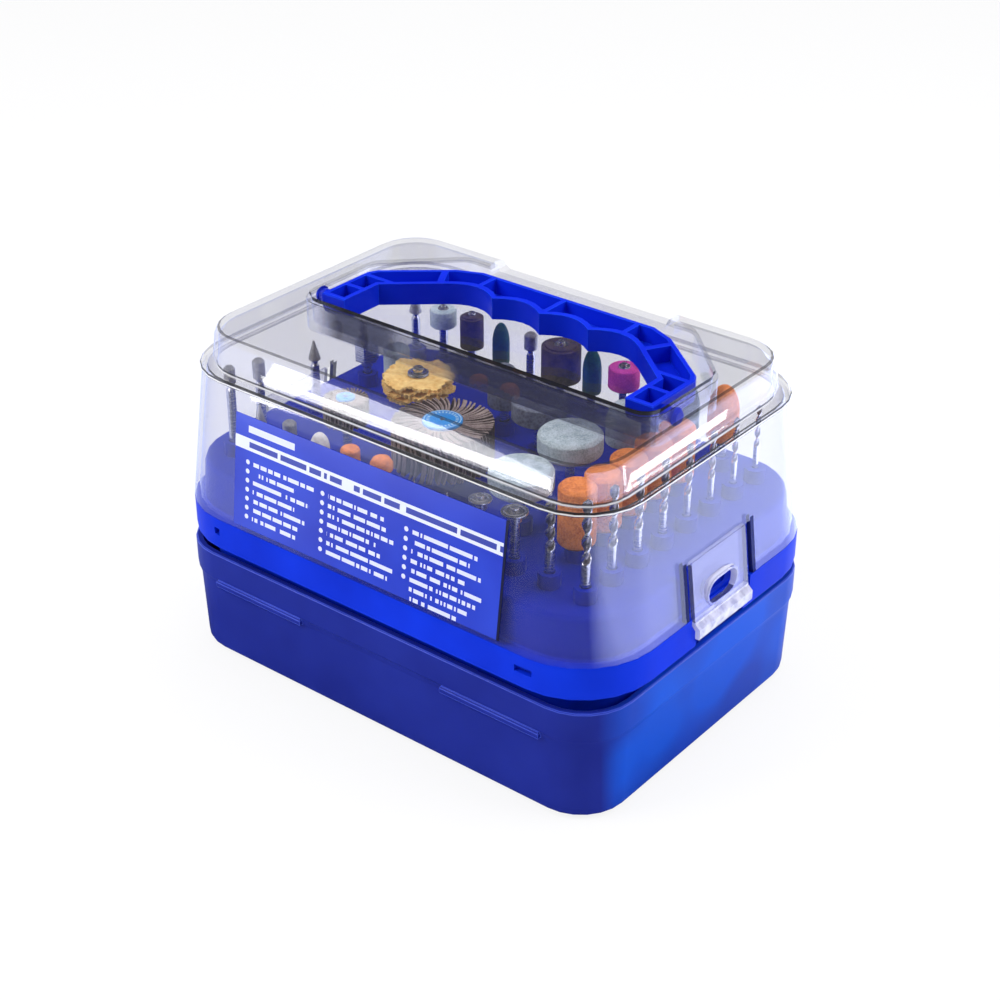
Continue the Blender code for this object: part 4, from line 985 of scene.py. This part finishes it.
master = make_drill()
for node in [n for n in NODES if n.startswith("twist_drill")]:
    low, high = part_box(node)
    drill = bpy.data.objects.new(node + "_ground", master.data.copy())
    scene.collection.objects.link(drill)
    k = (high[0] - low[0]) / 2 / SHANK_R
    tall = (high[2] - FLUTE_START) / (DRILL_TOP - FLUTE_START)
    cx, cy = axis_of(node)
    for v in drill.data.vertices:
        v.co.x, v.co.y = cx + v.co.x * k, cy + v.co.y * k
        v.co.z = FLUTE_START + (v.co.z - FLUTE_START) * (tall if v.co.z > FLUTE_START else 1.0)
    settle(drill, node)
bpy.data.objects.remove(master)
print("nine drills of", len(drill.data.vertices), "vertices")

# %% [markdown]
# ## Flap wheels
#
# A flap wheel is a ring of abrasive leaves glued round a core. One leaf is a thin grid, curled as it
# goes outward and bowed over its height, then thickened. Its cut edges show the paler cloth backing.
# Copies turned round the axis, each a little off its place, make the wheel.

# %% Leaves round a core
LEAF_EDGE = gritty("leaf_edge", (0.12, 0.08, 0.07), (0.34, 0.26, 0.235), 2600.0, 0.00003)


def make_disc_print():
    """A bright blue paper washer with thin pale rings and ticks."""
    m, nt, p = plain("blue_washer", (0.0, 0.3, 0.8), 0.35, Specular_IOR_Level=0.4)
    at = wire(nt, "TexCoord").outputs["Object"]
    from_axis = wire(nt, "VectorMath", at, (*axis_of("flap_wheel"), 0.0), operation="SUBTRACT").outputs[0]
    x, y, _ = wire(nt, "SeparateXYZ", from_axis).outputs
    r = length_of(nt, x, y)
    wave = calc(nt, "SINE", calc(nt, "MULTIPLY", calc(nt, "ARCTAN2", y, x), 26.0))
    ticks = product(nt, calc(nt, "GREATER_THAN", wave, 0.2), between(nt, r, 0.0044, 0.0054))
    ink = calc(nt, "MAXIMUM", ticks, between(nt, r, 0.0060, 0.0063))
    blue = two_tones(nt, noise(nt, at, 300.0), (0.0, 0.2, 0.68), (0.01, 0.4, 0.92))
    nt.links.new(two_tones(nt, ink, blue, (0.6, 0.85, 0.95)), p.inputs["Base Color"])
    return m


WASHER = make_disc_print()


def make_leaf(r0, r1, z0, z1, thick, curl, bow, cells):
    """One leaf from the core out to r1; curl and bow say how far it strays sideways, in metres."""
    alone()
    bpy.ops.mesh.primitive_grid_add(x_subdivisions=cells[0], y_subdivisions=cells[1], size=1.0)
    leaf = bpy.context.object
    for v in leaf.data.vertices:
        u, w = v.co.x + 0.5, v.co.y + 0.5
        side = curl * u ** 2 + bow * u * (1 - (2 * w - 1) ** 2)
        r = r0 + (r1 - r0) * u
        a = side / r
        v.co = (r * cos(a), r * sin(a), z0 + (z1 - z0) * w)
    skin = leaf.modifiers.new("skin", "SOLIDIFY")
    skin.thickness, skin.offset, skin.material_offset_rim = thick, 0.0, 1
    leaf.data.materials.append(FINISH["flap"])
    leaf.data.materials.append(LEAF_EDGE)
    apply_modifiers(leaf)
    return leaf


def make_wheel(node, count, hub, disc, z0, **leaf_shape):
    """A wheel of count leaves from z0 up, round a core of radius hub, with a paper washer on top."""
    low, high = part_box(node)
    cx, cy = axis_of(node)
    r1, top = (high[0] - low[0]) / 2 - 0.0001, high[2] - 0.0008
    leaf = make_leaf(hub - 0.0006, r1 * 0.985, z0, top, **leaf_shape)
    leaves = []
    for k in range(count):
        one = bpy.data.objects.new("leaf", leaf.data.copy())
        scene.collection.objects.link(one)
        jitter = 0.035 * sin(7.3 * k) + 0.02 * sin(3.1 * k)
        one.data.transform(Matrix.Translation((cx, cy, 0.00012 * sin(5.7 * k)))
                           @ Matrix.Rotation(2 * pi * k / count + jitter, 4, "Z"))
        leaves.append(one)
    bpy.data.objects.remove(leaf)
    core = turned(node + "_wheel", (cx, cy),
                  [(BIT_FOOT, SHANK_R), (z0 + 0.0004, SHANK_R), (z0 + 0.0004, hub), (top - 0.0002, hub),
                   (top - 0.0002, disc), (high[2] - 0.0002, disc), (high[2], disc - 0.0003)], 40)

    def finish_at(c):
        if c.z < z0 + 0.0003:
            return 0
        return 2 if c.z > top - 0.00015 and hypot(c.x - cx, c.y - cy) < disc + 0.0001 else 1

    paint(core, (STEEL, LEAF_EDGE, WASHER), finish_at)
    smooth(core, 35.0)
    core = screw_on(core, (cx, cy), high[2] - 0.0009, 0.00105)
    wheel = joined(core, *leaves)
    settle(wheel, node)
    print(node, count, "leaves,", len(wheel.data.polygons), "faces")


make_wheel("flap_wheel", 60, hub=0.0080, disc=0.0068, z0=0.0842,
           thick=0.0007, curl=0.0032, bow=0.0014, cells=(6, 5))
make_wheel("brush_wheel", 34, hub=0.0036, disc=0.0032, z0=0.0903,
           thick=0.0005, curl=0.0018, bow=0.0006, cells=(4, 3))

# %% [markdown]
# ## Soft pieces
#
# The buff is a stack of cotton sheets on a screw. Each sheet is a ringed disc with a pinked rim that
# waves up and down, thickened afterwards. The pressed felts on shanks are turned like the stones. The
# loose felt discs in the tub are one outline spun round their axis, with a groove where two discs meet.

# %% Cotton buff
SHEETS, SHEET_STEP, SHEET_THICK, SHEET_RINGS = 5, 0.0012, 0.0008, 6
SHEET_HOLE, FLAT_TO = 0.0022, 0.003                 # the hole's radius, and where the sheet starts to wave
TEETH = 48                                          # pinked teeth round the rim


def make_sheet(axis, z, radius, phase):
    """One cotton disc: ringed, waved, pinked and thickened. The phase sets its waves apart."""
    alone()
    bpy.ops.mesh.primitive_circle_add(vertices=2 * TEETH, radius=SHEET_HOLE, fill_type="NGON",
                                      location=(*axis, z))
    sheet = bpy.context.object
    sheet.name = "sheet"
    bpy.ops.object.transform_apply(location=True)
    bpy.ops.object.mode_set(mode="EDIT")
    bpy.ops.mesh.select_mode(type="FACE")
    bpy.ops.mesh.select_all(action="SELECT")
    r = SHEET_HOLE
    for k in range(SHEET_RINGS):
        nxt = SHEET_HOLE + (radius - SHEET_HOLE) * (k + 1) / SHEET_RINGS
        bpy.ops.mesh.extrude_region_move()
        bpy.ops.transform.resize(value=(nxt / r, nxt / r, 1.0), center_override=(*axis, z))
        r = nxt
    bpy.ops.mesh.delete(type="FACE")
    bpy.ops.object.mode_set(mode="OBJECT")
    for v in sheet.data.vertices:
        dx, dy = v.co.x - axis[0], v.co.y - axis[1]
        r, a = polar(dx, dy)
        t = max(0.0, (r - FLAT_TO) / (radius - FLAT_TO))
        tooth = 1 if round(a * TEETH / pi) % 2 else -1
        v.co.z += t ** 1.6 * (0.0008 * sin(5 * a + phase) + 0.00045 * sin(11 * a + 2.1 * phase))
        out = t ** 3 * (0.00035 * tooth + 0.0004 * sin(3 * a + phase))
        v.co.x, v.co.y = v.co.x + dx / r * out, v.co.y + dy / r * out
    skin = sheet.modifiers.new("skin", "SOLIDIFY")
    skin.thickness, skin.offset = SHEET_THICK, 0.0
    apply_modifiers(sheet)
    sheet.data.materials.append(FINISH["cotton"])
    smooth(sheet, 50.0)
    return sheet


axis = axis_of("cotton_buff")
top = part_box("cotton_buff")[1][2]
post = turned("cotton_buff_post", axis, [(BIT_FOOT, SHANK_R)] + below(
    top, (0.0098, SHANK_R), (0.0098, 0.0036), (0.0088, 0.0036), (0.0088, 0.0019), (0.0026, 0.0019),
    (0.0026, 0.004), (0.0018, 0.0036), (0.0016, 0.0022)))
paint(post, (STEEL,))
rounded_edges(post, 0.00015, 2, 40)
post = screw_on(post, axis, top - 0.0018, 0.0019)
sheets = [make_sheet(axis, top - 0.0081 + SHEET_STEP * k, 0.0122 - 0.0003 * (k % 2), 1.7 * k)
          for k in range(SHEETS)]
settle(joined(post, *sheets), "cotton_buff")
print("buff", len(post.data.polygons), "faces")

# %% Felt discs in the tub
DISCS, DISC_HOLE, GROOVE = 5, 0.002, 0.0006
low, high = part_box("felt_discs")
cx, cy = axis_of("felt_discs")
step = (high[2] - low[2]) / DISCS
wide = (high[0] - low[0]) / 2
outline = []
for k in range(DISCS):
    z = low[2] + k * step
    outline += [(wide - GROOVE, z), (wide, z + 0.0005), (wide, z + step - 0.0005), (wide - GROOVE, z + step)]
outline += [(DISC_HOLE + 0.0004, high[2]), (DISC_HOLE, high[2] - 0.0004),
            (DISC_HOLE, low[2] + 0.0004), (DISC_HOLE + 0.0004, low[2])]
alone()
bpy.ops.mesh.primitive_circle_add(vertices=len(outline), radius=0.01, fill_type="NOTHING")
stack = bpy.context.object
stack.name = "felt_disc_stack"
for v, (r, z) in zip(stack.data.vertices, outline):
    v.co = (cx + r, cy, z)
bpy.ops.object.mode_set(mode="EDIT")
bpy.ops.mesh.select_all(action="SELECT")
bpy.ops.mesh.spin(steps=48, angle=2 * pi, center=(cx, cy, 0), axis=(0, 0, 1))
bpy.ops.mesh.select_all(action="SELECT")
bpy.ops.mesh.remove_doubles(threshold=1e-6)
bpy.ops.mesh.normals_make_consistent(inside=False)
bpy.ops.object.mode_set(mode="OBJECT")
stack.data.materials.append(FINISH["felt"])
smooth(stack, 50.0)
settle(stack, "felt_discs")
bpy.data.objects.remove(SCREW)
print("felt stack", len(stack.data.polygons), "faces")
